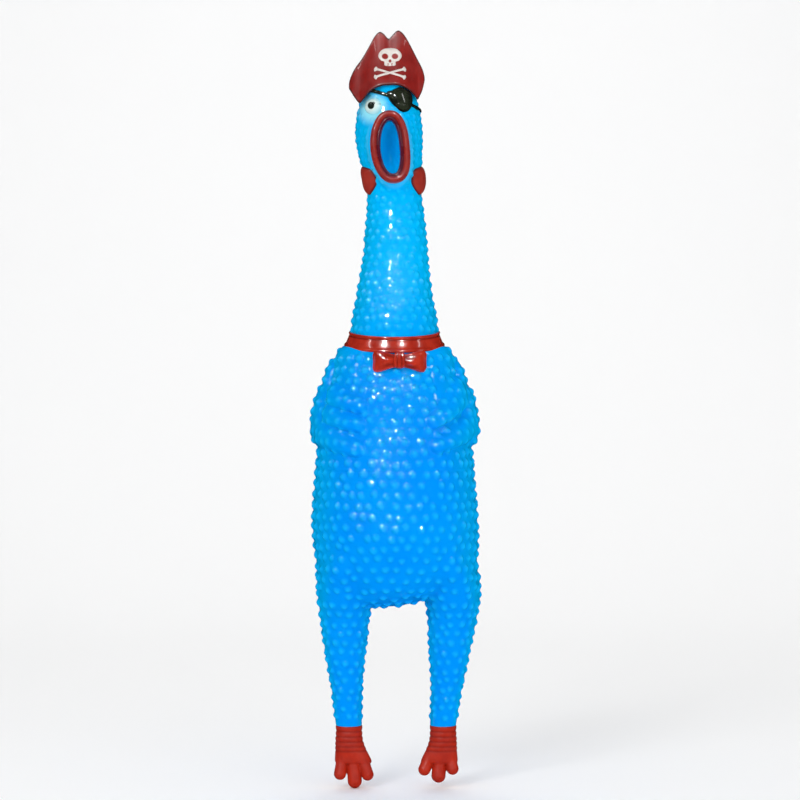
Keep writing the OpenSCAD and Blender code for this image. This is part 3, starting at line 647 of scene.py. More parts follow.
@dataclass
class Nubs:
    """Round nubs all over the skin: staggered rings round the body and the legs, with the last
    gaps filled one by one.

    The columns of the keys are the height, the spacing round a ring, the spacing of the rings,
    and a nub's radius and height.
    """

    shape: SkinShape
    body: Keys = field(default_factory=lambda: [
        (72, 4.9, 4.1, 1.85, 0.92), (170, 4.8, 4.0, 1.8, 0.9), (184, 4.3, 3.6, 1.65, 0.78),
        (222, 4.0, 3.3, 1.5, 0.68), (240, 3.5, 2.9, 1.35, 0.5), (285, 3.4, 2.9, 1.3, 0.42)])
    leg: Keys = field(default_factory=lambda: [
        (28, 4.0, 3.5, 1.5, 0.7), (60, 4.3, 3.8, 1.7, 0.85), (95, 4.9, 4.1, 1.85, 0.92)])
    jitter: float = 0.12
    seed: int = 7
    body_rows: tuple[float, float] = (79.5, 281)
    leg_rows: tuple[float, float] = (28.6, 92)
    leg_top: float = 72.0
    feather_rows: tuple[float, float] = (128, 162)
    feather_cut: float = 0.6
    near_body: float = 0.72
    near_nub: float = 0.62
    gap: float = 0.84
    most_extra: int = 500
    bare_mouth: tuple[float, float] = (8.8, 15.7)
    bare_eye: tuple[float, float] = (267.7, 5.4)
    bare_patch: tuple[float, float, float] = (-1.5, 10.5, 264.5)
    bare_crown: tuple[float, float] = (274, 279)
    bare_collar: tuple[float, float] = (177.0, 3.7)
    bare_bow: tuple[float, float, float, float] = (-9.2, 13.2, 164.6, 175)
    bare_wattle: tuple[float, float, float] = (40, 122, 6.2)
    bare_foot: float = 26.9

    def ring_heights(self, low: float, high: float, keys: Keys) -> Array:
        """Heights of the rings, each a row's spacing above the last."""
        heights = [low]
        while heights[-1] < high:
            step = float(curve(keys, np.array([heights[-1]]), 2)[0])
            heights.append(heights[-1] + step)
        return np.array(heights[:-1])

    def rings(self, heights: Array, keys: Keys, ray: Callable[[Array, Array], Array],
              chance: np.random.Generator) -> Array:
        """Points at equal distances round each ring, every other ring shifted by half a step.

        Args:
            heights: of the rings.
            keys: the spacing at each height.
            ray: gives the skin's point at an angle and a height.
            chance: the seeded source of the small irregularities.

        Returns:
            The points.
        """
        turn = np.linspace(0, 2 * math.pi, 145)
        grid = ray(np.tile(turn, len(heights)), np.repeat(heights, len(turn))).reshape(len(heights), -1, 3)
        chords = np.linalg.norm(np.diff(grid, axis=1), axis=2)
        length = np.concatenate([np.zeros((len(heights), 1)), np.cumsum(chords, 1)], 1)
        spacing = curve(keys, heights)
        angles, levels = [], []
        for row, z in enumerate(heights):
            count = max(5, int(round(length[row, -1] / spacing[row])))
            stops = (np.arange(count) + 0.5 * (row % 2)) / count * length[row, -1]
            stops = (stops + chance.normal(0, self.jitter * spacing[row], count)) % length[row, -1]
            angles.append(np.interp(stops, length[row], turn))
            levels.append(z + chance.normal(0, self.jitter * spacing[row] * 0.8, count))
        return ray(np.concatenate(angles), np.concatenate(levels))

    def leg_ray(self, side: int) -> Callable[[Array, Array], Array]:
        """The skin's point round one leg."""

        def ray(angle: Array, z: Array) -> Array:
            x = side * curve(self.shape.leg, z) + curve(self.shape.sway, z)
            start = np.stack([x, np.zeros(len(z)), z], 1)
            return self.shape.hit(start, np.stack([np.sin(angle), -np.cos(angle), np.zeros(len(z))], 1), 30)

        return ray

    def allowed(self, p: Array) -> Array:
        """Where the moulding has nubs: not under trim or round the mouth and eyes."""
        x, y, z = self.shape.straight(p)
        front = y < -4
        angle = np.degrees(np.arctan2(np.abs(x), -y))
        wide, tall = self.bare_mouth
        mouth = np.hypot((x - self.shape.bare_mouth_x) / wide, (z - self.shape.muzzle[2]) / tall)
        bare = front & (mouth < 1)
        up, radius = self.bare_eye
        bare |= front & (np.hypot(x - self.shape.painted_eye_x, z - up) < radius)
        low, high, bottom = self.bare_patch
        bare |= front & (x > low) & (x < high) & (z > bottom)
        bare |= z > np.where(front, *self.bare_crown)
        middle, half = self.bare_collar
        bare |= np.abs(z - middle - COLLAR_SLOPE * y) < half
        low, high, bottom, top = self.bare_bow
        bare |= front & (p[:, 0] > low) & (p[:, 0] < high) & (z > bottom) & (z < top)
        low, high, half = self.bare_wattle
        bare |= (angle > low) & (angle < high) & (np.abs(z - WATTLE_UP) < half)
        bare |= z < self.bare_foot
        return ~bare

    def scatter(self, skin: Net) -> tuple[Array, Array, Array]:
        """Lays out all the nubs.

        Args:
            skin: the netted skin, whose points fill the last gaps.

        Returns:
            Each nub's middle, radius and height.
        """
        chance = np.random.default_rng(self.seed)
        rows = self.ring_heights(*self.body_rows, self.body)
        nubs = self.rings(rows, self.body, self.shape.round_axis, chance)
        apart = [curve(self.body, nubs[:, 2])]
        for side in (LEFT, RIGHT):
            rows = self.ring_heights(*self.leg_rows, self.leg)
            more = self.rings(rows, self.leg, self.leg_ray(side), chance)
            more = more[(np.abs(self.shape(more)) < 0.4) & (side * more[:, 0] > 1)]
            room = np.linalg.norm(more[:, None] - nubs[None], axis=2).min(1)
            more = more[room > self.near_body * curve(self.leg, more[:, 2])]
            nubs = np.concatenate([nubs, more])
            apart.append(curve(self.leg, more[:, 2]))
        spread = np.concatenate(apart)
        keep = self.allowed(nubs) & (np.abs(self.shape(nubs)) < 0.5)
        nubs, spread = nubs[keep], spread[keep]
        close = np.linalg.norm(nubs[:, None] - nubs[None], axis=2) < self.near_nub * spread[:, None]
        nubs = nubs[~np.triu(close, 1).any(0)]
        spots = skin.points[::5]
        spots = spots[self.allowed(spots)]
        room = np.full(len(spots), np.inf)
        for part in np.array_split(np.arange(len(spots)), 40):
            room[part] = np.linalg.norm(spots[part, None] - nubs[None], axis=2).min(1)
        reach = self.gap * curve(self.body, spots[:, 2])
        extra = []
        while len(extra) < self.most_extra and (room > reach).any():
            new = spots[np.argmax(room / reach)]
            extra.append(new)
            room = np.minimum(room, np.linalg.norm(spots - new, axis=1))
        log.info("nubs: %d in rings, %d in gaps", len(nubs), len(extra))
        nubs = np.concatenate([nubs, np.array(extra).reshape(-1, 3)])
        z = nubs[:, 2]
        radius, height = (
            np.where(z < self.leg_top, curve(self.leg, z, k), curve(self.body, z, k)) for k in (3, 4))
        size = chance.uniform(0.88, 1.08, len(nubs))
        low, high = self.feather_rows
        rise = self.shape.feather_rise(*self.shape.straight(nubs))
        feather = ease(0.2, 1.4, rise) * (z > low) * (z < high)
        return nubs, radius * size, height * size * (1 - self.feather_cut * feather)


# ---------- shader nodes ----------

Linkable = Union["Wire", float, tuple[float, ...]]


@dataclass
class Wire:
    """A node's output, so that sums of masks read as Python expressions."""

    shader: "Shader"
    socket: bpy.types.NodeSocket

    def sum(self, kind: str, a: Linkable, b: Linkable) -> "Wire":
        """One Math node."""
        return self.shader.node("ShaderNodeMath", {"operation": kind}, {0: a, 1: b})

    def __add__(self, other: Linkable) -> "Wire":
        """Sum."""
        return self.sum("ADD", self, other)

    def __radd__(self, other: Linkable) -> "Wire":
        """Sum with a number first."""
        return self.sum("ADD", other, self)

    def __sub__(self, other: Linkable) -> "Wire":
        """Difference."""
        return self.sum("SUBTRACT", self, other)

    def __rsub__(self, other: Linkable) -> "Wire":
        """Difference from a number."""
        return self.sum("SUBTRACT", other, self)

    def __mul__(self, other: Linkable) -> "Wire":
        """Product."""
        return self.sum("MULTIPLY", self, other)

    def __rmul__(self, other: Linkable) -> "Wire":
        """Product with a number first."""
        return self.sum("MULTIPLY", other, self)

    def clamped(self) -> "Wire":
        """Held between 0 and 1."""
        return self.shader.node("ShaderNodeClamp", {}, {"Value": self})


class Shader:
    """A material's nodes round one Principled shader."""

    def __init__(self, name: str, constants: dict[str, Union[float, tuple[float, ...]]]) -> None:
        """Starts the material.

        Args:
            name: the material's name.
            constants: what is the same all over, by the Principled socket's name.
        """
        self.material = bpy.data.materials.new(name)
        self.material.use_nodes = True
        self.tree = self.material.node_tree
        self.surface = self.tree.nodes["Principled BSDF"]
        for socket, value in constants.items():
            self.surface.inputs[socket].default_value = value

    def node(self, kind: str, settings: dict[str, object], inputs: dict[Union[str, int], Linkable],
             out: Union[str, int] = 0) -> Wire:
        """Adds any node.

        Args:
            kind: the node's type.
            settings: its properties, which are set first.
            inputs: values or links of its sockets.
            out: which output the wire comes from.

        Returns:
            The output.
        """
        new = self.tree.nodes.new(kind)
        for key, value in settings.items():
            if key == "stops":
                while len(new.color_ramp.elements) < len(value):
                    new.color_ramp.elements.new(0.5)
                for element, (at, colour) in zip(new.color_ramp.elements, value):
                    element.position, element.color = at, colour
            else:
                setattr(new, key, value)
        for key, value in inputs.items():
            if isinstance(value, Wire):
                self.tree.links.new(value.socket, new.inputs[key])
            else:
                new.inputs[key].default_value = value
        return Wire(self, new.outputs[out])

    def place(self) -> Wire:
        """Object coordinates, in metres."""
        return self.node("ShaderNodeTexCoord", {}, {}, "Object")

    def mark(self, name: str) -> Wire:
        """A number stored at the piece's vertices."""
        return self.node("ShaderNodeAttribute", {"attribute_name": name}, {}, "Fac")

    def noise(self, scale: float, detail: float = 2, roughness: float = 0.5) -> Wire:
        """Noise of about 0 to 1, with features about 1 / scale metres across."""
        return self.node("ShaderNodeTexNoise", {}, {
            "Vector": self.place(), "Scale": scale, "Detail": detail, "Roughness": roughness}, "Fac")

    def mapped(self, value: Wire, low: float, high: float, to_low: float = 0, to_high: float = 1) -> Wire:
        """A value brought smoothly from one range to another."""
        return self.node("ShaderNodeMapRange", {"interpolation_type": "SMOOTHSTEP"}, {
            "Value": value, "From Min": low, "From Max": high, "To Min": to_low, "To Max": to_high})

    def blend(self, share: Linkable, a: Linkable, b: Linkable) -> Wire:
        """Mix of two colours."""
        return self.node("ShaderNodeMix", {"data_type": "RGBA"}, {0: share, 6: a, 7: b}, 2)

    def bump(self, height: Wire, depth: float, strength: float = 1) -> None:
        """Feeds a bump of a depth in metres to the shader's normal."""
        bump = self.node("ShaderNodeBump", {}, {"Height": height, "Distance": depth, "Strength": strength})
        self.feed("Normal", bump)

    def feed(self, socket: str, value: Linkable) -> None:
        """Links a varying value to one of the shader's sockets."""
        self.tree.links.new(value.socket, self.surface.inputs[socket])


def rgb(red: float, green: float, blue: float) -> tuple[float, float, float, float]:
    """A colour's display values from 0 to 255, as linear light."""
    parts = [c / 255 for c in (red, green, blue)]
    return tuple(c / 12.92 if c <= 0.04045 else ((c + 0.055) / 1.055) ** 2.4 for c in parts) + (1.0,)


@dataclass(frozen=True)
class NubbedVinyl:
    """Soft clear-coated vinyl: azure, deeper over the belly and more cyan up the neck, with overspray
    from the painted eye. Each nub's top is paler, a painted highlight mixed with fine random tone;
    the skin turns a greener blue where it faces sideways, painted side light; and the inside of the
    mouth is painted lighter, standing in for light through the vinyl."""

    name: str = "azure_vinyl"
    azure: tuple = rgb(0, 150, 244)
    deep: tuple = rgb(0, 134, 244)
    cyan: tuple = rgb(0, 184, 250)
    # painted side light: the greener blue where the skin faces sideways
    side_light_teal: tuple = rgb(0, 172, 222)
    # painted highlight: the paler colour of each nub's top
    nub: tuple = rgb(24, 184, 246)
    pale: tuple = rgb(150, 226, 242)
    # painted light: the lighter blue inside the mouth, standing in for light through the vinyl
    throat: tuple = rgb(0, 186, 255)

    def build(self) -> bpy.types.Material:
        """The material."""
        s = Shader(self.name, {
            "Coat Roughness": 0.045, "Coat IOR": 1.5, "IOR": 1.48, "Specular IOR Level": 0.0,
            "Subsurface Weight": 0.22, "Subsurface Radius": (0.12, 0.5, 1.0), "Subsurface Scale": 0.003})
        cloud = s.mapped(s.noise(42, 3, 0.55), 0.3, 0.7)
        fine = s.noise(420, 2, 0.6)
        height = s.node("ShaderNodeSeparateXYZ", {}, {0: s.place()}, 2)
        colour = s.blend(cloud * 0.55, self.azure, self.deep)
        colour = s.blend(s.mapped(height, 0.035, 0.1, 0, 0.85), colour, self.cyan)
        # painted side light where the skin faces sideways
        colour = s.blend(s.mark("flank") * 0.6, colour, self.side_light_teal)
        # painted highlight on each nub's top, with fine random tone mixed in
        colour = s.blend((s.mark("nub") * 0.75 + (fine - 0.5) * 0.25).clamped() * 0.8, colour, self.nub)
        colour = s.blend(s.mark("spray"), colour, self.pale)
        # painted light: lightens the inside of the mouth
        colour = s.blend(s.mark("inside"), colour, self.throat)
        s.feed("Base Color", colour)
        s.feed("Roughness", s.mapped(s.noise(120, 2), 0.25, 0.8, 0.18, 0.36))
        s.feed("Coat Weight", s.mapped(s.noise(75, 2), 0.3, 0.7, 0.7, 1.0))
        s.bump(s.noise(900, 3, 0.6), 0.00012, 0.5)
        return s.material


@dataclass(frozen=True)
class Paint:
    """Paint or coloured vinyl on a small moulded piece, worn and uneven as a sprayed stencil is.

    Attributes:
        name: the material's name.
        main, other: the colours that it wanders between.
        edge: the colour where the piece's mark says so: painted shade in creases, grooves, the lips' inner
            side and along the edges of most pieces; the paint's own colour at the eye's rim and the skull's
            sockets.
        gloss: low for a wet look.
        coat: how much clear gloss lies over it.
        mark: attribute that chooses the edge colour, or empty.
        relief: depth of its fine bump in metres.
    """

    name: str
    main: tuple
    other: tuple
    edge: tuple = (0.0, 0.0, 0.0, 1.0)
    gloss: float = 0.3
    coat: float = 0.5
    mark: str = ""
    relief: float = 0.00008

    def build(self) -> bpy.types.Material:
        """The material."""
        s = Shader(self.name, {"Coat Roughness": 0.06, "IOR": 1.48, "Specular IOR Level": 0.25})
        colour = s.blend(s.mapped(s.noise(160, 3, 0.6), 0.3, 0.7), self.main, self.other)
        if self.mark:
            colour = s.blend(s.mark(self.mark), colour, self.edge)
        s.feed("Base Color", colour)
        s.feed("Roughness", s.mapped(s.noise(260, 2), 0.25, 0.75, self.gloss * 0.75, self.gloss * 1.3))
        s.feed("Coat Weight", s.mapped(s.noise(110, 2), 0.3, 0.7, self.coat * 0.6, self.coat))
        s.bump(s.noise(1100, 3, 0.6), self.relief, 0.6)
        return s.material


@dataclass(frozen=True)
class ClearPlastic:
    """Milky moulded plastic of the squeaker."""

    name: str
    colour: tuple
    roughness: float = 0.35

    def build(self) -> bpy.types.Material:
        """The material."""
        s = Shader(self.name, {"IOR": 1.49, "Subsurface Weight": 0.15, "Subsurface Scale": 0.002})
        darker = tuple(c * 0.86 for c in self.colour[:3]) + (1.0,)
        s.feed("Base Color", s.blend(s.noise(200, 2), self.colour, darker))
        s.feed("Roughness", s.mapped(s.noise(320, 2), 0.3, 0.7, self.roughness * 0.8, self.roughness * 1.2))
        s.bump(s.noise(1300, 2), 0.00005, 0.5)
        return s.material


class Finish(Enum):
    """The object's finishes."""

    SKIN = NubbedVinyl()
    # BOW's edge colour is painted shade in the band's groove and the folds of the bow and knot
    BOW = Paint("glossy_red_vinyl", rgb(158, 34, 18), rgb(184, 48, 28), rgb(96, 12, 8), 0.18, 0.9, "crease")
    # LIP's edge colour is painted shade on the lips' inner side
    LIP = Paint("brick_lip_paint", rgb(150, 40, 32), rgb(132, 36, 34), rgb(84, 14, 34), 0.3, 0.7, "inner")
    # WATTLE's edge colour is painted shade along each wattle's edge
    WATTLE = Paint("brick_wattle_paint", rgb(164, 44, 28), rgb(148, 36, 26), rgb(70, 18, 30),
                   0.42, 0.35, "rim")
    # HAT's edge colour is painted shade along the hat's outline
    HAT = Paint("hat_red_paint", rgb(146, 26, 20), rgb(130, 20, 16), rgb(44, 8, 10), 0.42, 0.35, "rim")
    EMBLEM = Paint("emblem_white_paint", rgb(226, 220, 214), rgb(212, 204, 198), rgb(146, 26, 20),
                   0.45, 0.3, "socket")
    BONE = Paint("bone_white_paint", rgb(226, 220, 214), rgb(210, 202, 196), gloss=0.45, coat=0.3)
    EYE = Paint("eye_white_paint", rgb(214, 230, 224), rgb(200, 224, 222), rgb(170, 226, 236),
                0.25, 0.8, "rim")
    PUPIL = Paint("pupil_black_paint", rgb(16, 22, 16), rgb(34, 44, 34), gloss=0.12, coat=1.0)
    # PATCH's edge colour is painted shade along the patch's edge
    PATCH = Paint("patch_black_paint", rgb(14, 16, 12), rgb(40, 46, 34), rgb(4, 4, 4),
                  0.14, 1.0, "rim", 0.00001)
    # FOOT's edge colour is painted shade in the ankle's ring grooves, and a darker line along its painted
    # top edge
    FOOT = Paint("foot_red_paint", rgb(180, 38, 12), rgb(164, 30, 10), rgb(126, 22, 12),
                 0.4, 0.4, "groove", 0.00015)
    HOUSING = ClearPlastic("squeaker_plastic", rgb(216, 222, 218))
    BED = ClearPlastic("reed_plastic", rgb(236, 238, 232))
    REED = ClearPlastic("reed_film", rgb(206, 214, 210), 0.2)

    def material(self) -> bpy.types.Material:
        """The finish's material, made once."""
        return bpy.data.materials.get(self.value.name) or self.value.build()


# ---------- the skin's pieces ----------


@dataclass(frozen=True)
class Cut:
    """A piece of the skin, cut at the joints.

    Attributes:
        name: the piece.
        bodies: the bodies on either side of its joint; the same one twice rides on it, two are not
            attached.
        start, end: where the real skin's bend starts and ends, in millimetres above the toe tips; they are
            turned into metres but not used.
        nodes: the CAD nodes that it stands for.
    """

    name: str
    bodies: tuple[str, str]
    start: tuple[float, float, float]
    end: tuple[float, float, float]
    nodes: tuple[str, ...]


@dataclass
class Skin:
    """The whole moulding: netted once, nubbed, and cut where it bends."""

    measures: Measures
    shape: SkinShape
    step: float = 0.5
    belly_edge: float = -20.0
    neck_cuts: tuple[float, float, float] = (176.5, 195.0, 218.0)
    leg_cuts: tuple[float, float, float] = (71.0, 57.5, 36.5)
    leg_inner: float = 9.0
    spray_up: float = 267.3

    def cuts(self) -> list[Cut]:
        """The pieces, in the order of their numbers in region()."""
        cuts = [
            Cut("torso", ("torso", "torso"), (0, 0, 0), (0, 0, 0),
                ("torso_skin", "left_wing", "right_wing")),
            Cut("belly", ("torso", "belly"), (0, self.belly_edge + 0.5, 112), (0, -32.5, 112),
                ("belly_skin",)),
            Cut("neck_lower", ("torso", "lower_neck"), (0, 0, 176.5), (0, 0, 192), ("neck_lower_skin",)),
            Cut("neck_upper", ("lower_neck", "upper_neck"), (0, 0, 197), (0, 0, 217.5),
                ("neck_upper_skin",)),
            Cut("head", ("upper_neck", "head"), (0, 0, HEAD_BEND[0]), (0, 0, HEAD_BEND[1]),
                ("head_skin",))]
        for side, word in SIDES:
            x = side * self.shape.leg[-3][1]
            cuts += [
                Cut(f"{word}_thigh", ("torso", f"{word}_thigh"), (x, 0, 71), (x, 0, 58),
                    (f"{word}_thigh_skin",)),
                Cut(f"{word}_shank", (f"{word}_thigh", f"{word}_shank"), (x, 0, 56), (x, 0, 37),
                    (f"{word}_shank_skin",)),
                Cut(f"{word}_ankle", (f"{word}_shank", f"{word}_foot"), (x, 0, ANKLE_BEND[0]),
                    (x, 0, ANKLE_BEND[1]), ())]
        return cuts

    def region(self, middle: Array) -> Array:
        """Which cut each face's middle is in, by height, by depth for the belly, and by leg."""
        x, y, z = middle[:, 0], middle[:, 1], middle[:, 2]
        low, middle_neck, high = self.neck_cuts
        number = np.where(y < self.belly_edge, 1, 0)
        number = np.where(z > low, 2, number)
        number = np.where(z > middle_neck, 3, number)
        number = np.where(z > high, 4, number)
        leg = (z < self.leg_cuts[0]) & (np.abs(x) > self.leg_inner)
        part = (z < self.leg_cuts[1]).astype(int) + (z < self.leg_cuts[2])
        return np.where(leg, np.where(x > 0, 5, 8) + part, number)

    def marks(self, points: Array, outward: Array, up: Array) -> dict[str, Array]:
        """Numbers that the finish reads: each nub's height, where the painted highlight on its top goes;
        how far the skin faces sideways, where painted side light goes; the spray of paint round the eye;
        and the inside of the mouth, which is painted lighter."""
        x, y, z = self.shape.straight(points)
        over_eye = z - self.spray_up
        eye = np.hypot(x - self.shape.painted_eye_x, over_eye * np.where(over_eye < 0, 0.85, 1.1))
        spray = 0.9 * (1 - ease(3.0, 7.2, eye)) * (y < -3) * (z > 255)
        rim = np.hypot((x - self.shape.bare_mouth_x) / 8.5, (z - self.shape.muzzle[2]) / 15.0)
        rim = np.abs(rim - 1)
        spray = np.maximum(spray, 0.12 * (1 - ease(0.0, 0.1, rim)) * (y < -9))
        # marks the inside of the mouth for its painted light
        inside = ease(-1.2, 0.2, -self.shape.mouth(points)) * (y < 4)
        # the sideways mark feeds painted side light; the nub mark feeds the painted highlight
        return {"nub": up, "flank": ease(0.55, 1.0, np.hypot(outward[:, 0], outward[:, 2] * 0.6)),
                "spray": spray, "inside": inside}

    def build(self) -> list[bpy.types.Object]:
        """Makes all the pieces and attaches those that ride one body.

        Returns:
            The pieces.
        """
        low, high = np.array([-39.0, -38, 22]), np.array([39.0, 34, 288])
        net = Net.around(self.shape, low, high, self.step)
        log.info("skin: %d points, %d faces", len(net.points), len(net.quads))
        outward = unit(gradient(self.shape, net.points, self.shape(net.points)))
        points, up = net.raised(outward, *Nubs(self.shape).scatter(net))
        normals = quad_normals(points, net.quads)
        marks = self.marks(net.points, outward, up)
        region = self.region(net.points[net.quads].mean(1))
        material = Finish.SKIN.material()
        pieces = []
        for number, cut in enumerate(self.cuts()):
            piece = new_piece(cut.name, points, net.quads[region == number], self.measures.base, material,
                              "blue_vinyl", normals, **marks)
            if cut.bodies[0] == cut.bodies[1]:
                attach(piece, cut.bodies[0])
            else:
                self.measures.place(*cut.start)
                self.measures.place(*cut.end)
                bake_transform(piece)
            if cut.nodes:
                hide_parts(*cut.nodes)
            pieces.append(piece)
        return pieces


# ---------- trim made of grids ----------


def loop_curve(keys: list[tuple[float, float]], count: int) -> Array:
    """Closed smooth curve through keys: each stretch is a cubic whose slopes are half the chord
    between the keys on either side."""
    k = np.array(keys, float)
    at = np.linspace(0, len(k), count, endpoint=False)
    i = at.astype(int)
    u = (at - i)[:, None]
    a, b, c, d = k[i - 1], k[i], k[(i + 1) % len(k)], k[(i + 2) % len(k)]
    return hermite(u, 1.0, (b, c), ((c - a) / 2, (d - b) / 2))


def pole(row: Array) -> Array:
    """One more row for a grid, with every point at the middle of the given row."""
    return np.repeat(row.mean(0)[None, None], len(row), 1)


def weld(piece: bpy.types.Object) -> bpy.types.Object:
    """Merges the doubled vertices at a grid's poles and turns its faces outwards."""
    work = bmesh.new()
    work.from_mesh(piece.data)
    bmesh.ops.remove_doubles(work, verts=work.verts, dist=2e-6)
    bmesh.ops.recalc_face_normals(work, faces=work.faces)
    work.to_mesh(piece.data)
    work.free()
    return piece


@dataclass
class Trim:
    """What every trim maker shares."""

    measures: Measures
    shape: SkinShape

    def grid_piece(self, name: str, grid: Array, finish: Finish, slot: str, loop_rows: bool,
                   loop_columns: bool, **marks: Array) -> bpy.types.Object:
        """A piece from a grid of points.

        Args:
            name: the piece's name.
            grid: rows by columns by 3.
            finish, slot: its finish, and its slot in the record, which is not used.
            loop_rows, loop_columns: which way the grid closes on itself.
            marks: numbers at the grid's points.

        Returns:
            The welded piece.
        """
        rows, columns = grid.shape[:2]
        flat = {mark: np.broadcast_to(values, (rows, columns)).ravel() for mark, values in marks.items()}
        points = grid.reshape(-1, 3)
        quads = turned_out(points, grid_quads(rows, columns, loop_rows, loop_columns))
        base, material = self.measures.base, finish.material()
        return weld(new_piece(name, points, quads, base, material, slot, None, **flat))

    def pad(self, outline: Callable[[Array], Array], lay: Callable[[Array, Array], Array],
            height: Callable[[Array], Array], sunk: float, columns: int = 72,
            rows: int = 14) -> tuple[Array, Array]:
        """Closed low pad laid on a surface: rings of an outline shrink to its middle on the outer
        face, and again on a face sunk in the surface.

        Args:
            outline: distance of the edge from the middle at each angle, as two plane coordinates.
            lay: the surface's point at two plane coordinates.
            height: how proud the pad is at a share of the way to its edge.
            sunk: depth of its hidden face.
            columns, rows: of the grid.

        Returns:
            The grid, and each point's share of the way to the edge.
        """
        hidden_rows = 4
        share = np.concatenate([np.sin(np.linspace(0, math.pi / 2, rows)), np.linspace(1, 0, hidden_rows)])
        proud = np.concatenate([height(share[:rows]), np.full(hidden_rows, -sunk)])
        flat = share[:, None, None] * outline(full_turn(columns))[None]
        base = lay(flat[..., 0].ravel(), flat[..., 1].ravel())
        out = self.shape.outward(base)
        grid = base + out * np.repeat(proud, columns)[:, None]
        return grid.reshape(len(share), columns, 3), share[:, None]


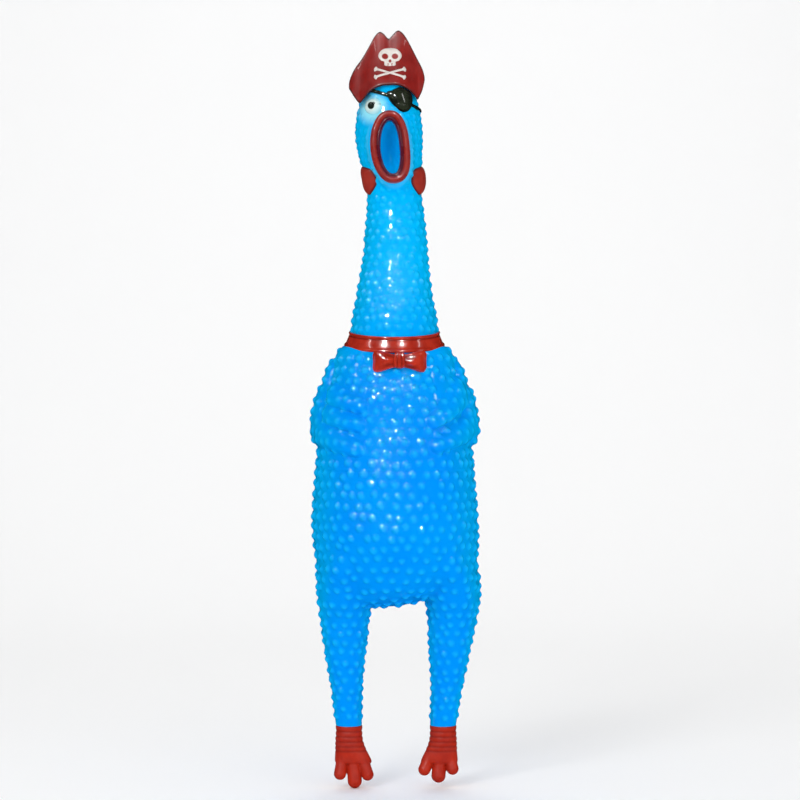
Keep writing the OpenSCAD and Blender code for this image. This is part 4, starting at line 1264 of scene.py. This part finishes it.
@dataclass
class Face(Trim):
    """Lips, painted eye, patch with its strap, and wattles: all on the head."""

    lips: tuple[float, float] = (7.5, 14.0)
    lip_power: float = 2.25
    lip_inset: float = 1.75
    lip_section: list = field(default_factory=lambda: [
        (1.75, -1.4), (1.95, 0.2), (1.7, 1.35), (0.95, 2.1), (0.1, 2.05), (-0.5, 1.35), (-0.85, 0.95),
        (-1.25, 1.1), (-1.75, 0.7), (-2.05, -0.4), (-2.0, -2.4), (0.0, -2.6)])
    eye: tuple[float, float] = (-6.05, 267.7)
    eye_radius: float = 3.3
    pupil: tuple[float, float] = (-6.0, 267.6)
    patch_middle: tuple[float, float] = (4.4, 270.2)
    strap_middle: float = 271.1
    strap_slope: float = 0.36
    strap_half: float = 0.7
    strap_thick: float = 0.8
    wattle_angle: float = 80.0
    wattle_up: float = WATTLE_UP
    wattle_spread: float = 43.0
    wattle_half: float = 5.7

    def swayed(self, x: Array, z: Array) -> Array:
        """Points on the skin's front at coordinates that go along with the sway."""
        z = np.asarray(z, float)
        return self.shape.front(x + curve(self.shape.sway, z), z)

    def make_lips(self) -> bpy.types.Object:
        """Rolled lips: a section with an outer roll and an inner ridge carried round a leaning
        superellipse that lies on the muzzle; the side that turns into the mouth is darkened as painted
        shade."""
        around, across = 120, 40
        a = full_turn(around)
        power = 2 / self.lip_power
        x = (self.lips[0] - self.lip_inset) * bent(np.cos(a), power) * (1 - 0.05 * np.sin(a))
        z = (self.lips[1] - self.lip_inset) * bent(np.sin(a), power)
        tangent = unit(np.stack([np.roll(x, -1) - np.roll(x, 1), np.roll(z, -1) - np.roll(z, 1)], 1))
        side = np.stack([tangent[:, 1], -tangent[:, 0]], 1)
        section = loop_curve(self.lip_section, across)
        flat_x = x[:, None] + side[:, :1] * section[None, :, 0]
        flat_z = z[:, None] + side[:, 1:] * section[None, :, 0]
        px, pz = leaned(flat_x, flat_z, self.shape.mouth_tilt)
        px, pz = px + self.shape.muzzle[0], pz + self.shape.muzzle[2]
        x, z = leaned(x, z, self.shape.mouth_tilt)
        base = self.swayed(x + self.shape.muzzle[0], z + self.shape.muzzle[2])
        y = base[:, 1:2] - section[None, :, 1]
        grid = np.stack([px + curve(self.shape.sway, pz.ravel()).reshape(px.shape), y, pz], -1)
        # painted shade: darker on the inner side that turns into the mouth
        inner = ease(0.35, 0.75, -section[:, 0])
        return self.grid_piece("lips", grid, Finish.LIP, "lip_red", True, True, inner=inner[None, :])

    def make_eye(self) -> list[bpy.types.Object]:
        """Bulging eye and its pupil: two low domes, 1 - q^2 to the power 0.6, on the cheek."""
        def lay(middle: tuple[float, float]) -> Callable[[Array, Array], Array]:
            return lambda x, z: self.swayed(x + middle[0], z + middle[1])

        def round_edge(wide: float, tall: float) -> Callable[[Array], Array]:
            return lambda a: np.stack([wide * np.cos(a), tall * np.sin(a)], 1)

        bulge = 1.75
        grid, share = self.pad(round_edge(self.eye_radius, self.eye_radius), lay(self.eye),
                               lambda q: bulge * np.clip(1 - q**2, 0, 1) ** 0.6 - 0.15, 0.8, 64, 16)
        eye = self.grid_piece("eye", grid, Finish.EYE, "eye_white", False, True, rim=ease(0.55, 1.0, share))
        grid, _ = self.pad(
            round_edge(1.12, 1.5), lay(self.pupil),
            lambda q: bulge * 0.94 + 0.32 * np.clip(1 - q**2, 0, 1) ** 0.5 - 0.02, -0.9, 48, 10)
        return [eye, self.grid_piece("pupil", grid, Finish.PUPIL, "pupil_black", False, True)]

    def make_patch(self) -> bpy.types.Object:
        """Shield-shaped patch: rings of a smooth five-cornered outline, crowned in the middle."""
        corners = [(4.9, 1.0), (3.7, 3.6), (0.2, 5.3), (-3.0, 3.9), (-5.2, 2.8), (-4.0, -0.6), (-1.6, -3.2),
                   (1.0, -5.0), (3.6, -4.0), (4.7, -1.6)]
        grid, share = self.pad(lambda a: loop_curve(corners, len(a)),
                               lambda x, z: self.swayed(x + self.patch_middle[0], z + self.patch_middle[1]),
                               lambda q: 1.15 * (1 - q**7) + 0.45 * (1 - q**2), 0.6, 90, 20)
        # painted shade: the rim mark darkens the patch towards its edge
        return self.grid_piece("eye_patch_shield", grid, Finish.PATCH, "patch_black", False, True,
                               rim=ease(0.86, 0.97, share))

    def make_strap(self) -> bpy.types.Object:
        """Strap: a rounded band in a slanted plane all round the head, laid on the skin."""
        turn = full_turn(200)
        sway = float(curve(self.shape.sway, np.array([self.strap_middle]))[0])
        start = np.tile([sway + 1.5, 0.0, self.strap_middle], (len(turn), 1))
        way = np.stack([np.sin(turn), -np.cos(turn), -self.strap_slope * np.sin(turn)], 1)
        base = self.shape.hit(start, unit(way))
        out = self.shape.outward(base)
        along = unit(np.roll(base, -1, 0) - np.roll(base, 1, 0))
        up = np.cross(out, along)
        section = loop_curve([(1, -0.5), (1, 0.5), (0.6, 0.95), (0, 1.05), (-0.6, 0.95), (-1, 0.5),
                              (-1, -0.5), (0, -0.6)], 20)
        across = up[:, None] * section[None, :, :1] * self.strap_half
        grid = base[:, None] + across + out[:, None] * section[None, :, 1:] * self.strap_thick
        return self.grid_piece("eye_patch_band", grid, Finish.PATCH, "patch_black", True, True, rim=0.0)

    def make_wattles(self) -> list[bpy.types.Object]:
        """Wattles: leaf-shaped pads, pointed behind, wrapped round the jaw."""
        made = []
        outline = [(-1.0, 0.15), (-0.79, 0.66), (-0.3, 0.9), (0.14, 1.0), (0.43, 0.83), (0.71, 0.32),
                   (1.0, -0.2), (0.36, -0.62), (-0.29, -1.0), (-0.6, -0.84), (-0.93, -0.37)]
        for side, word in SIDES:
            def lay(s: Array, z: Array, side: int = side) -> Array:
                angle = side * np.radians(self.wattle_angle + s * self.wattle_spread)
                return self.shape.round_axis(angle, z * self.wattle_half + self.wattle_up)

            grid, share = self.pad(lambda a: loop_curve(outline, len(a)), lay,
                                   lambda q: 1.7 * np.clip(1 - q**3, 0, 1) ** 0.6, 0.7, 72, 16)
            # painted shade: the rim mark darkens each wattle's edge
            piece = self.grid_piece(f"{word}_jaw_wattle", grid, Finish.WATTLE, "lip_red", False, True,
                                    rim=ease(0.9, 1.0, share))
            start, end = (self.measures.place(0, 0, z) for z in HEAD_BEND)
            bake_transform(piece)
            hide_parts(f"{word}_wattle")
            made.append(piece)
        return made

    def build(self) -> list[bpy.types.Object]:
        """Makes the face and attaches all but the wattles to the head."""
        lips, patch, strap = self.make_lips(), self.make_patch(), self.make_strap()
        eye, pupil = self.make_eye()
        for piece, node in ((lips, "beak_lips"), (eye, "right_eye"), (pupil, "right_pupil"),
                            (patch, "eye_patch"), (strap, "eye_patch_strap")):
            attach(piece, "head")
            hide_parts(node)
        return [lips, eye, pupil, patch, strap, *self.make_wattles()]


@dataclass
class Collar(Trim):
    """Collar with its bow tie and knot."""

    middle: float = 177.6
    slope: float = COLLAR_SLOPE
    radius: float = 17.1
    section: list = field(default_factory=lambda: [
        (-1.2, 2.5), (0.2, 2.7), (0.7, 2.7), (0.95, 2.2), (0.7, 1.6), (1.1, 0.6), (1.65, -0.8),
        (2.15, -1.8), (2.6, -2.1), (2.8, -2.7), (2.4, -3.2), (0.5, -3.3), (-1.2, -2.8), (-1.5, 0.0)])
    bow_x: float = 2.0
    bow_z: float = 168.3
    bow_half: float = 10.7

    def make_band(self) -> bpy.types.Object:
        """Band: a lipped section that flares downwards, carried round a slightly tilted ring."""
        turn = full_turn(180)
        section = loop_curve(self.section, 56)
        radius = self.radius + section[None, :, 0] + 0.12 * np.sin(3 * turn)[:, None]
        x = np.sin(turn)[:, None] * radius
        y = -np.cos(turn)[:, None] * radius
        z = self.middle + self.slope * y + section[None, :, 1]
        # painted shade: darkens the groove under the band's upper lip
        crease = ease(0.5, 0.0, np.abs(section[:, 1] - 1.4)) * ease(0.4, 0.9, section[:, 0])
        grid = np.stack([x, y, z], -1)
        piece = self.grid_piece("collar_band", grid, Finish.BOW, "gloss_red", True, True,
                                crease=crease[None, :])
        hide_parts("neck_collar")
        return piece

    def chest(self, x: float, z: float) -> float:
        """The chest's y at a point."""
        return float(self.shape.front(np.array([x]), np.array([z]))[0, 1])

    def make_bow(self) -> bpy.types.Object:
        """Bow: one rounded-oblong section carried from tip to tip, pinched at the knot, creased
        towards it and hollowed at its ends."""
        t = np.linspace(-1, 1, 73)
        v = full_turn(56)
        s = np.abs(t)
        tall = 2.55 + 1.9 * ease(0.12, 0.95, s)
        deep = 1.4 + 1.5 * ease(0.05, 0.6, s) - 0.3 * ease(0.7, 1.0, s)
        close = np.sqrt(np.clip(1 - ((s - 0.76) / 0.24).clip(0, 1) ** 2, 0, 1)) * 0.999 + 0.001
        oblong_z, oblong_y = bent(np.sin(v), 0.74), bent(np.cos(v), 0.75)
        fold = np.exp(-((s[:, None] - 0.42) / 0.24) ** 2)
        crease = 0.42 * fold * np.cos(oblong_z[None, :] * 5.2 + 0.5 * np.sign(t)[:, None])
        end_cup = 0.45 * (oblong_z[None, :] ** 2 - 0.4) * ease(0.6, 1, s)[:, None]
        x = self.bow_x + (t * (self.bow_half - 0.5))[:, None] + np.sign(t)[:, None] * end_cup
        z = self.bow_z - 0.25 * s[:, None] + oblong_z[None, :] * (tall * (0.6 + 0.4 * close))[:, None]
        stops = [-1, -0.5, 0, 0.5, 1]
        front = np.array([self.chest(self.bow_x + k * self.bow_half, self.bow_z - 1) for k in stops])
        seat = np.interp(t, stops, front)[:, None]
        dent = crease * (oblong_y > 0) * close[:, None]
        y = seat - 1.0 - oblong_y[None, :] * (deep * close)[:, None] - dent
        grid = np.stack([x, y, z], -1)
        grid = np.concatenate([pole(grid[0]), grid, pole(grid[-1])])
        # painted shade: darkens the bow's folds, by their depth
        mark = np.pad(np.clip(-crease * 1.6, 0, 0.7) * (oblong_y > 0), ((1, 1), (0, 0)))
        piece = self.grid_piece("bow_loops", grid, Finish.BOW, "gloss_red", False, True, crease=mark)
        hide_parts("bow_tie")
        return piece

    def make_knot(self) -> bpy.types.Object:
        """Knot: a superellipsoid with three soft folds down its front."""
        lat = np.linspace(-math.pi / 2, math.pi / 2, 30)
        lon = full_turn(64)
        cl, sl = np.cos(lat)[:, None], np.sin(lat)[:, None]
        x = 2.35 * cl**0.5 * bent(np.cos(lon), 0.7)
        y = 2.0 * cl**0.6 * bent(np.sin(lon), 0.7)
        z = 3.15 * bent(sl, 0.7) * np.ones_like(x)
        fold = np.cos(x * 3.6)
        y = y - np.where(y < 0, 0.26 * fold * cl, 0)
        base = self.chest(self.bow_x, self.bow_z) - 2.5
        grid = np.stack([x + self.bow_x - 0.1, y + base, z + self.bow_z + 0.2], -1)
        # painted shade: darkens the knot's folds
        piece = self.grid_piece("bow_knot_folds", grid, Finish.BOW, "gloss_red", False, True,
                                crease=np.clip(-fold, 0, 1) * 0.6 * (y < 0))
        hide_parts("bow_knot")
        return piece

    def build(self) -> list[bpy.types.Object]:
        """Makes and binds the collar."""
        pieces = [self.make_band(), self.make_bow(), self.make_knot()]
        for piece in pieces:
            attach(piece, "torso")
        return pieces


@dataclass
class Hat(Trim):
    """Two-leaved hat with its emblem.

    The keys are the leaf's top edge and bottom edge: place across the hat and height.
    """

    top: Keys = field(default_factory=lambda: [
        (-18.1, 277.8), (-17.5, 280.0), (-15.8, 283.6), (-12.7, 288.0), (-10.2, 292.3), (-7.8, 296.6),
        (-5.9, 298.2), (-4.3, 297.4), (-2.4, 295.5), (-0.6, 297.2), (1.3, 298.8), (3.4, 297.5),
        (5.2, 294.8), (8.2, 289.0), (11.0, 283.4), (11.85, 280.4)])
    bottom: Keys = field(default_factory=lambda: [
        (-18.1, 276.6), (-15.8, 272.3), (-13.7, 269.6), (-12.2, 270.9), (-10.2, 273.2), (-6.4, 275.4),
        (-1.4, 276.1), (2.4, 275.8), (6.2, 274.0), (7.7, 272.6), (9.0, 271.3), (10.2, 273.6),
        (11.0, 275.8), (11.85, 279.6)])
    middle: float = -3.12
    half: float = 14.97
    foot_deep: float = 14.3
    foot_tip: float = 1.0
    ridge_deep: float = 2.3
    ridge_tip: float = 0.75
    valley: float = 3.0
    thick: float = 1.5
    rear_lift: float = 2.4
    emblem_offset: float = 1.3
    skull_up: float = 287.9
    bones_up: float = 281.1
    bone_turn: float = 17.0

    def foot(self, x: Array) -> Array:
        """Distance of a leaf's foot from the hat's middle plane: an oval that narrows to the tips."""
        s = np.clip(np.abs(x - self.middle) / self.half, 0, 1)
        return self.foot_tip + (self.foot_deep - self.foot_tip) * np.clip(1 - s**2.3, 0, 1) ** 0.62

    def ridge(self, x: Array) -> Array:
        """Distance of a leaf's top edge from the middle plane."""
        s = np.clip(np.abs(x - self.middle) / self.half, 0, 1)
        return self.ridge_tip + (self.ridge_deep - self.ridge_tip) * np.clip(1 - s**2, 0, 1)

    def face(self, x: Array, z: Array) -> Array:
        """Depth of the front leaf's outer face: from foot to ridge along a slightly hollow curve."""
        low, high = curve(self.bottom, x), curve(self.top, x)
        v = np.clip((z - low) / np.maximum(high - low, 0.3), 0, 1)
        return self.foot(x) + (self.ridge(x) - self.foot(x)) * (v + 0.42 * v * (1 - v))

    def make_body(self) -> bpy.types.Object:
        """Hat: for each place across it, a closed profile up the front leaf, over its rim, down
        into the valley and up, over and down the rear leaf, then back underneath."""
        u = np.linspace(-1, 1, 150)
        x = self.middle + self.half * np.sign(u) * (1 - (1 - np.abs(u)) ** 1.5)
        low, high = curve(self.bottom, x), curve(self.top, x)
        span = np.maximum(high - low, 0.3)
        v = np.linspace(0, 1, 22)
        z_face = low[:, None] + span[:, None] * (v[None] * 0.97 + 0.01)
        y_face = np.stack([self.face(x, z_face[:, k]) for k in range(len(v))], 1)
        arc = np.linspace(0, math.pi, 9)[1:-1]
        round_in = np.minimum(self.thick / 2, span / 3)[:, None]  # radius of the rim and of the hem
        ridge = y_face[:, -1:] - round_in
        z_rim = z_face[:, -1:] + round_in * np.sin(arc)
        y_rim = np.maximum(ridge + round_in * np.cos(arc), 0.02)
        depth = np.minimum(self.valley, span * 0.35)[:, None]
        w = np.linspace(0, 1, 5)[None, 1:]
        z_in = z_face[:, -1:] - depth * ease(0, 1, w)
        y_in = np.maximum(ridge - round_in, 0.02) * (1 - w)
        hem = np.linspace(0, math.pi, 7)[1:-1]
        y_hem = y_face[:, :1] - round_in + round_in * np.cos(hem)
        z_hem = z_face[:, :1] - round_in * np.sin(hem) * 0.6
        under = np.linspace(0, 1, 6)[None, 1:]
        y_under = np.maximum(y_face[:, :1] - 2 * round_in, 0.0) * (1 - under)
        z_under = z_face[:, :1] + np.minimum(span * 0.4, 7)[:, None] * ease(0, 1, under)
        front_y = np.concatenate([y_under[:, ::-1], y_hem[:, ::-1], y_face, y_rim, y_in], 1)
        front_z = np.concatenate([z_under[:, ::-1], z_hem[:, ::-1], z_face, z_rim, z_in], 1)
        fallen = np.clip((high[:, None] - front_z) / span[:, None], 0, 1.2)
        rear_z = front_z + self.rear_lift * fallen * ease(0, 2, front_y)
        y = np.concatenate([-front_y, front_y[:, ::-1][:, 1:-1]], 1)
        z = np.concatenate([front_z, rear_z[:, ::-1][:, 1:-1]], 1)
        grid = np.stack([np.broadcast_to(x[:, None], y.shape), y, z], -1)
        # Only the right tip is drawn to a point: the left tip's last ring stays open.
        grid = np.concatenate([pole(grid[0]), grid])
        # painted shade: the rim mark darkens the hat along its outline and towards its tips
        across, up = grid[..., 0].ravel(), grid[..., 2].ravel()
        edge = np.minimum(curve(self.top, across) - up, up - curve(self.bottom, across))
        to_tip = (self.half - np.abs(grid[..., 0] - self.middle)) * 1.2
        edge = np.minimum(edge.reshape(grid.shape[:2]), to_tip)
        piece = self.grid_piece("pirate_hat", grid, Finish.HAT, "hat_red", False, True,
                                rim=0.85 * ease(0.55, 0.05, edge))
        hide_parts("hat")
        return piece

    def pad_on_face(self, name: str, x: Array, z: Array, proud: Array, finish: Finish, node: str,
                    **marks: Array) -> bpy.types.Object:
        """Closed pad on the front leaf.

        Args:
            name: the piece's name.
            x, z: the outer face's grid, whose last row is the edge.
            proud: how far each row stands off the leaf.
            finish: its paint.
            node: the CAD node that it stands for.
            marks: numbers at the grid's points.

        Returns:
            The piece.
        """
        y = -self.face(x.ravel(), z.ravel()).reshape(x.shape)
        outer = np.stack([x, y - proud, z], -1)
        inner = np.stack([x, y + 0.25, z], -1)[::-1]
        grid = np.concatenate([outer, inner])
        double = {mark: np.concatenate([values, values[::-1]]) for mark, values in marks.items()}
        piece = self.grid_piece(name, grid, finish, "emblem_white", False, True, **double)
        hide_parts(node)
        return piece

    def make_emblem(self) -> list[bpy.types.Object]:
        """Plain skull with painted sockets over two crossed bones with knobbed ends."""
        q = np.linspace(0.0, 1.0, 26)[:, None]
        outline = loop_curve([
            (4.6, 0.3), (4.0, 2.1), (2.4, 3.4), (0, 3.85), (-2.4, 3.4), (-4.0, 2.1), (-4.6, 0.3),
            (-3.6, -1.5), (-2.3, -2.1), (-2.1, -3.6), (0, -3.9), (2.1, -3.6), (2.3, -2.1), (3.6, -1.5)], 96)
        dx, dz = q * outline[None, :, 0], q * outline[None, :, 1]
        emblem_x = self.middle + self.emblem_offset
        eyes = np.hypot((np.abs(dx) - 1.95) / 1.25, (dz - 0.2) / 1.2)
        nose = np.hypot(dx / 0.55, (dz + 1.75) / 0.7)
        teeth = np.hypot((np.abs(dx) - 0.75) / 0.2, (dz + 3.3) / 0.7)
        socket = np.max([ease(1.12, 0.9, k) for k in (eyes, nose, teeth)], 0)
        proud = (0.5 - 0.2 * socket) * (1 - q**10)
        skull = self.pad_on_face("skull_emblem", emblem_x + dx, self.skull_up + dz, proud,
                                 Finish.EMBLEM, "hat_skull", socket=socket)
        bones = []
        t = np.linspace(-1, 1, 60)
        v = np.linspace(-1, 1, 9)[None]
        s = np.abs(t)
        half = 0.46 + 0.62 * np.exp(-((s - 0.9) / 0.075) ** 2)
        half = half * np.sqrt(np.clip(1 - ((s - 0.93) / 0.07).clip(0, 1) ** 2, 0, 1)) + 0.01
        notch = np.sign(t)[:, None] * 0.5 * (1 - np.abs(v)) * ease(0.85, 1, s)[:, None]
        for k, (turn, raised) in enumerate(((self.bone_turn, 0.12), (-self.bone_turn, 0))):
            along, across = leaned(6.6 * t[:, None] - notch, half[:, None] * v, turn)
            x, z = emblem_x + along, self.bones_up + across
            y = -self.face(x.ravel(), z.ravel()).reshape(x.shape)
            lift = 0.42 * np.sqrt(np.clip(1 - v**2, 0, 1)) * (half > 0.1)[:, None] + raised
            top = np.stack([x, y - lift, z], -1)
            under = np.stack([x, y + 0.25, z], -1)[:, ::-1]
            grid = np.concatenate([top, under], 1)
            bones.append(self.grid_piece(f"bone_{k}", grid, Finish.BONE, "emblem_white", False, True))
        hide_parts("hat_crossbones")
        return [skull, *bones]

    def build(self) -> list[bpy.types.Object]:
        """Makes and binds the hat."""
        pieces = [self.make_body(), *self.make_emblem()]
        for piece in pieces:
            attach(piece, "head")
        return pieces


# ---------- feet ----------


@dataclass
class FootShape:
    """One foot as a field: a ringed ankle that widens into a palm with three toes.

    Attributes:
        ankle: x of the ankle's middle.
        toes: each toe tip's x, height and radius.
        top: height of the painted edge.
    """

    ankle: float
    toes: tuple[tuple[float, float, float], ...]
    top: float = 24.7
    rings: tuple[float, ...] = (22.5, 20.4, 18.4, 16.5, 14.7)
    knuckle: float = 13.5
    palm_low: float = 9.6

    def __call__(self, p: Array) -> Array:
        """The field, negative inside."""
        x, y, z = p[:, 0], p[:, 1], p[:, 2]
        spread = np.array([toe[0] for toe in self.toes])
        middle = self.ankle + (spread.mean() - self.ankle) * ease(20, 7, z)
        wide = curve([(5, 6.6), (8, 7.5), (11, 7.2), (14, 6.4), (18, 5.6), (22, 5.25), (25.6, 5.3)], z)
        deep = curve([(5, 2.3), (8, 2.9), (13, 4.0), (18, 4.8), (22, 5.15), (25.6, 5.3)], z)
        groove = sum(np.exp(-((z - ring) / 0.42) ** 2) * depth
                     for ring, depth in zip(self.rings, (0.26, 0.26, 0.24, 0.2, 0.16)))
        palm = oval([x - middle, y + 0.6 * ease(16, 8, z)], [wide, deep]) + groove
        palm = smooth_max(smooth_max(palm, z - self.top, 0.5), self.palm_low - z, 1.4)
        foot = palm
        up = z - self.knuckle
        for tip_x, tip_z, radius in self.toes:
            start = self.ankle + (tip_x - self.ankle) * 0.62
            dx, dz = tip_x - start, tip_z + radius - self.knuckle
            t = np.clip(((x - start) * dx + up * dz) / (dx * dx + dz * dz), 0, 1)
            away = np.sqrt((x - start - t * dx) ** 2 + (y + 0.4 + 1.2 * t) ** 2 + (up - t * dz) ** 2)
            foot = smooth_min(foot, away - radius * (0.94 + 0.06 * t), 0.35)
        return foot


@dataclass
class Feet(Trim):
    """Both painted feet."""

    def build(self) -> list[bpy.types.Object]:
        """Makes the feet."""
        made = []
        shapes = {
            RIGHT: FootShape(-18.05, ((-21.55, 3.2, 2.45), (-15.75, 0.0, 2.8), (-10.7, 2.9, 2.4))),
            LEFT: FootShape(19.15, ((11.75, 4.9, 2.45), (17.3, 2.1, 2.8), (22.85, 5.2, 2.4)))}
        for side, word in SIDES:
            shape = shapes[side]
            low = np.array([shape.ankle - 11.0, -7.5, -1.0])
            net = Net.around(shape, low, low + [22.0, 15.0, 28.5], 0.4)
            z = net.points[:, 2]
            # painted shade in the ring grooves, and a darker line along the painted top edge
            groove = np.max([np.exp(-((z - ring) / 0.4) ** 2) for ring in shape.rings], 0) * 0.6
            groove = np.maximum(groove, ease(shape.top - 0.5, shape.top - 0.1, z))
            piece = new_piece(
                f"{word}_painted_foot", net.points, net.quads, self.measures.base,
                Finish.FOOT.material(), "foot_red", quad_normals(net.points, net.quads), groove=groove)
            start, end = (self.measures.place(shape.ankle, 0, z) for z in ANKLE_BEND)
            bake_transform(piece)
            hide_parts(f"{word}_foot")
            made.append(piece)
        return made


# ---------- squeaker ----------


class Squeaker:
    """The squeaker's CAD nodes, dressed in milky plastic."""

    finishes = {"squeaker_housing": Finish.HOUSING, "squeaker_cap": Finish.HOUSING,
                "reed_shallot": Finish.BED, "reed_clamp": Finish.BED, "reed_tongue": Finish.REED}

    def __init__(self, nodes: dict[str, bpy.types.Object]) -> None:
        """Takes the frame's node objects."""
        self.nodes = nodes

    def build(self) -> None:
        """Puts the plastics on the nodes."""
        for name, finish in self.finishes.items():
            node = self.nodes[name]
            for slot in node.material_slots:
                slot.material = finish.material()
            if not node.material_slots:
                node.data.materials.append(finish.material())
            log.info("%s: dressed", name)


# ---------- studio ----------


@dataclass
class Studio:
    """Pale sweep, soft lights and the camera."""

    measures: Measures
    lens: float = 100.0
    distance: float = 0.879
    aim: tuple[float, float] = (0.0021, 0.0412)
    lamps: tuple[tuple, ...] = (
        ("key", (-0.6, -1.1, 0.7), (0.6, 0.6), 6.0, False),
        ("fill", (0.8, -1.1, 0.1), (0.8, 0.8), 6.8, False),
        ("strip_left", (-0.95, -0.35, 0.8), (0.05, 0.5), 1.3, True),
        ("strip_right", (0.95, -0.4, 0.7), (0.05, 0.5), 0.9, True),
        ("spark_left", (-0.42, -0.75, 0.8), (0.04, 0.04), 16.0, True),
        ("spark_right", (0.25, -0.8, 0.75), (0.04, 0.04), 7.0, True),
        ("spark_low", (-0.3, -0.9, 0.4), (0.03, 0.03), 2.2, True),
        ("back", (0.0, 0.8, 1.3), (1.0, 1.0), 5, False))

    def sweep(self) -> None:
        """Floor that curves up into the backdrop: a straight run, a quarter circle and a wall."""
        run = np.linspace(-6, 0.5, 14)
        bend = np.linspace(0, math.pi / 2, 24)[1:]
        wall = np.linspace(0.75, 2.2, 8)[1:]
        y = np.concatenate([run, 0.5 + 0.75 * np.sin(bend), np.full(len(wall), 1.25)])
        z = np.concatenate([np.zeros(len(run)), 0.75 * (1 - np.cos(bend)), wall])
        x = np.linspace(-5, 5, 7)
        grid = np.stack(np.broadcast_arrays(x[None], y[:, None], z[:, None] + self.measures.base * MM), -1)
        mesh = bpy.data.meshes.new("sweep")
        mesh.from_pydata(grid.reshape(-1, 3).tolist(), [], grid_quads(len(y), len(x))[:, ::-1].tolist())
        mesh.polygons.foreach_set("use_smooth", np.ones(len(mesh.polygons), bool))
        shader = Shader("pale_sweep", {"Roughness": 0.85})
        whites = rgb(252, 252, 252), rgb(246, 247, 248)
        shader.feed("Base Color", shader.blend(shader.noise(3, 2) * 0.3, *whites))
        mesh.materials.append(shader.material)
        piece = bpy.data.objects.new("sweep", mesh)
        bpy.context.scene.collection.objects.link(piece)
        piece.visible_glossy = False
        piece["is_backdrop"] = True

    def light(self, name: str, at: tuple[float, float, float], size: tuple[float, float],
              watts: float, glossy: bool) -> None:
        """One oblong area light that faces the chicken's chest.

        Args:
            name: the light's name.
            at: its place in metres.
            size: its width and height in metres.
            watts: its power.
            glossy: whether it only shows in the gloss, or only lights the colour.
        """
        data = bpy.data.lights.new(name, "AREA")
        data.shape, data.energy = "RECTANGLE", watts
        data.size, data.size_y = size
        lamp = bpy.data.objects.new(name, data)
        lamp.visible_glossy, lamp.visible_diffuse = glossy, not glossy
        lamp.location = at
        lamp.rotation_euler = (Vector((0, 0, 0.02)) - Vector(at)).to_track_quat("-Z", "Y").to_euler()
        bpy.context.scene.collection.objects.link(lamp)

    def build(self) -> None:
        """Makes the stage, the lights, the world and the camera."""
        self.sweep()
        for lamp in self.lamps:
            self.light(*lamp)
        scene = bpy.context.scene
        world = bpy.data.worlds.new("studio")
        world.use_nodes = True
        world.node_tree.nodes["Background"].inputs["Color"].default_value = (1, 1, 1, 1)
        world.node_tree.nodes["Background"].inputs["Strength"].default_value = 0.62
        scene.world = world
        world.cycles_visibility.glossy = False
        scene.view_settings.view_transform = "Standard"
        data = bpy.data.cameras.new("camera")
        data.lens, data.sensor_width = self.lens, 36
        data.clip_start, data.clip_end = 0.05, 20
        camera = bpy.data.objects.new("camera", data)
        camera.location = (self.aim[0], -self.distance, self.aim[1])
        camera.rotation_euler = (math.pi / 2, 0, 0)
        scene.collection.objects.link(camera)
        scene.camera = camera


def main() -> None:
    """Builds the chicken in order."""
    logging.basicConfig(level=logging.INFO, format="%(name)s %(message)s")
    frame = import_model()
    cad_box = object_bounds()
    measures = Measures.of(frame, cad_box[0])
    shape = SkinShape()
    Studio(measures).build()
    pieces = Skin(measures, shape).build()
    for maker in (Face, Collar, Hat, Feet):
        pieces += maker(measures, shape).build()
    Squeaker(frame["nodes"]).build()
    log.info("%d pieces", len(pieces))
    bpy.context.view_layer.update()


if __name__ == "__main__":
    main()
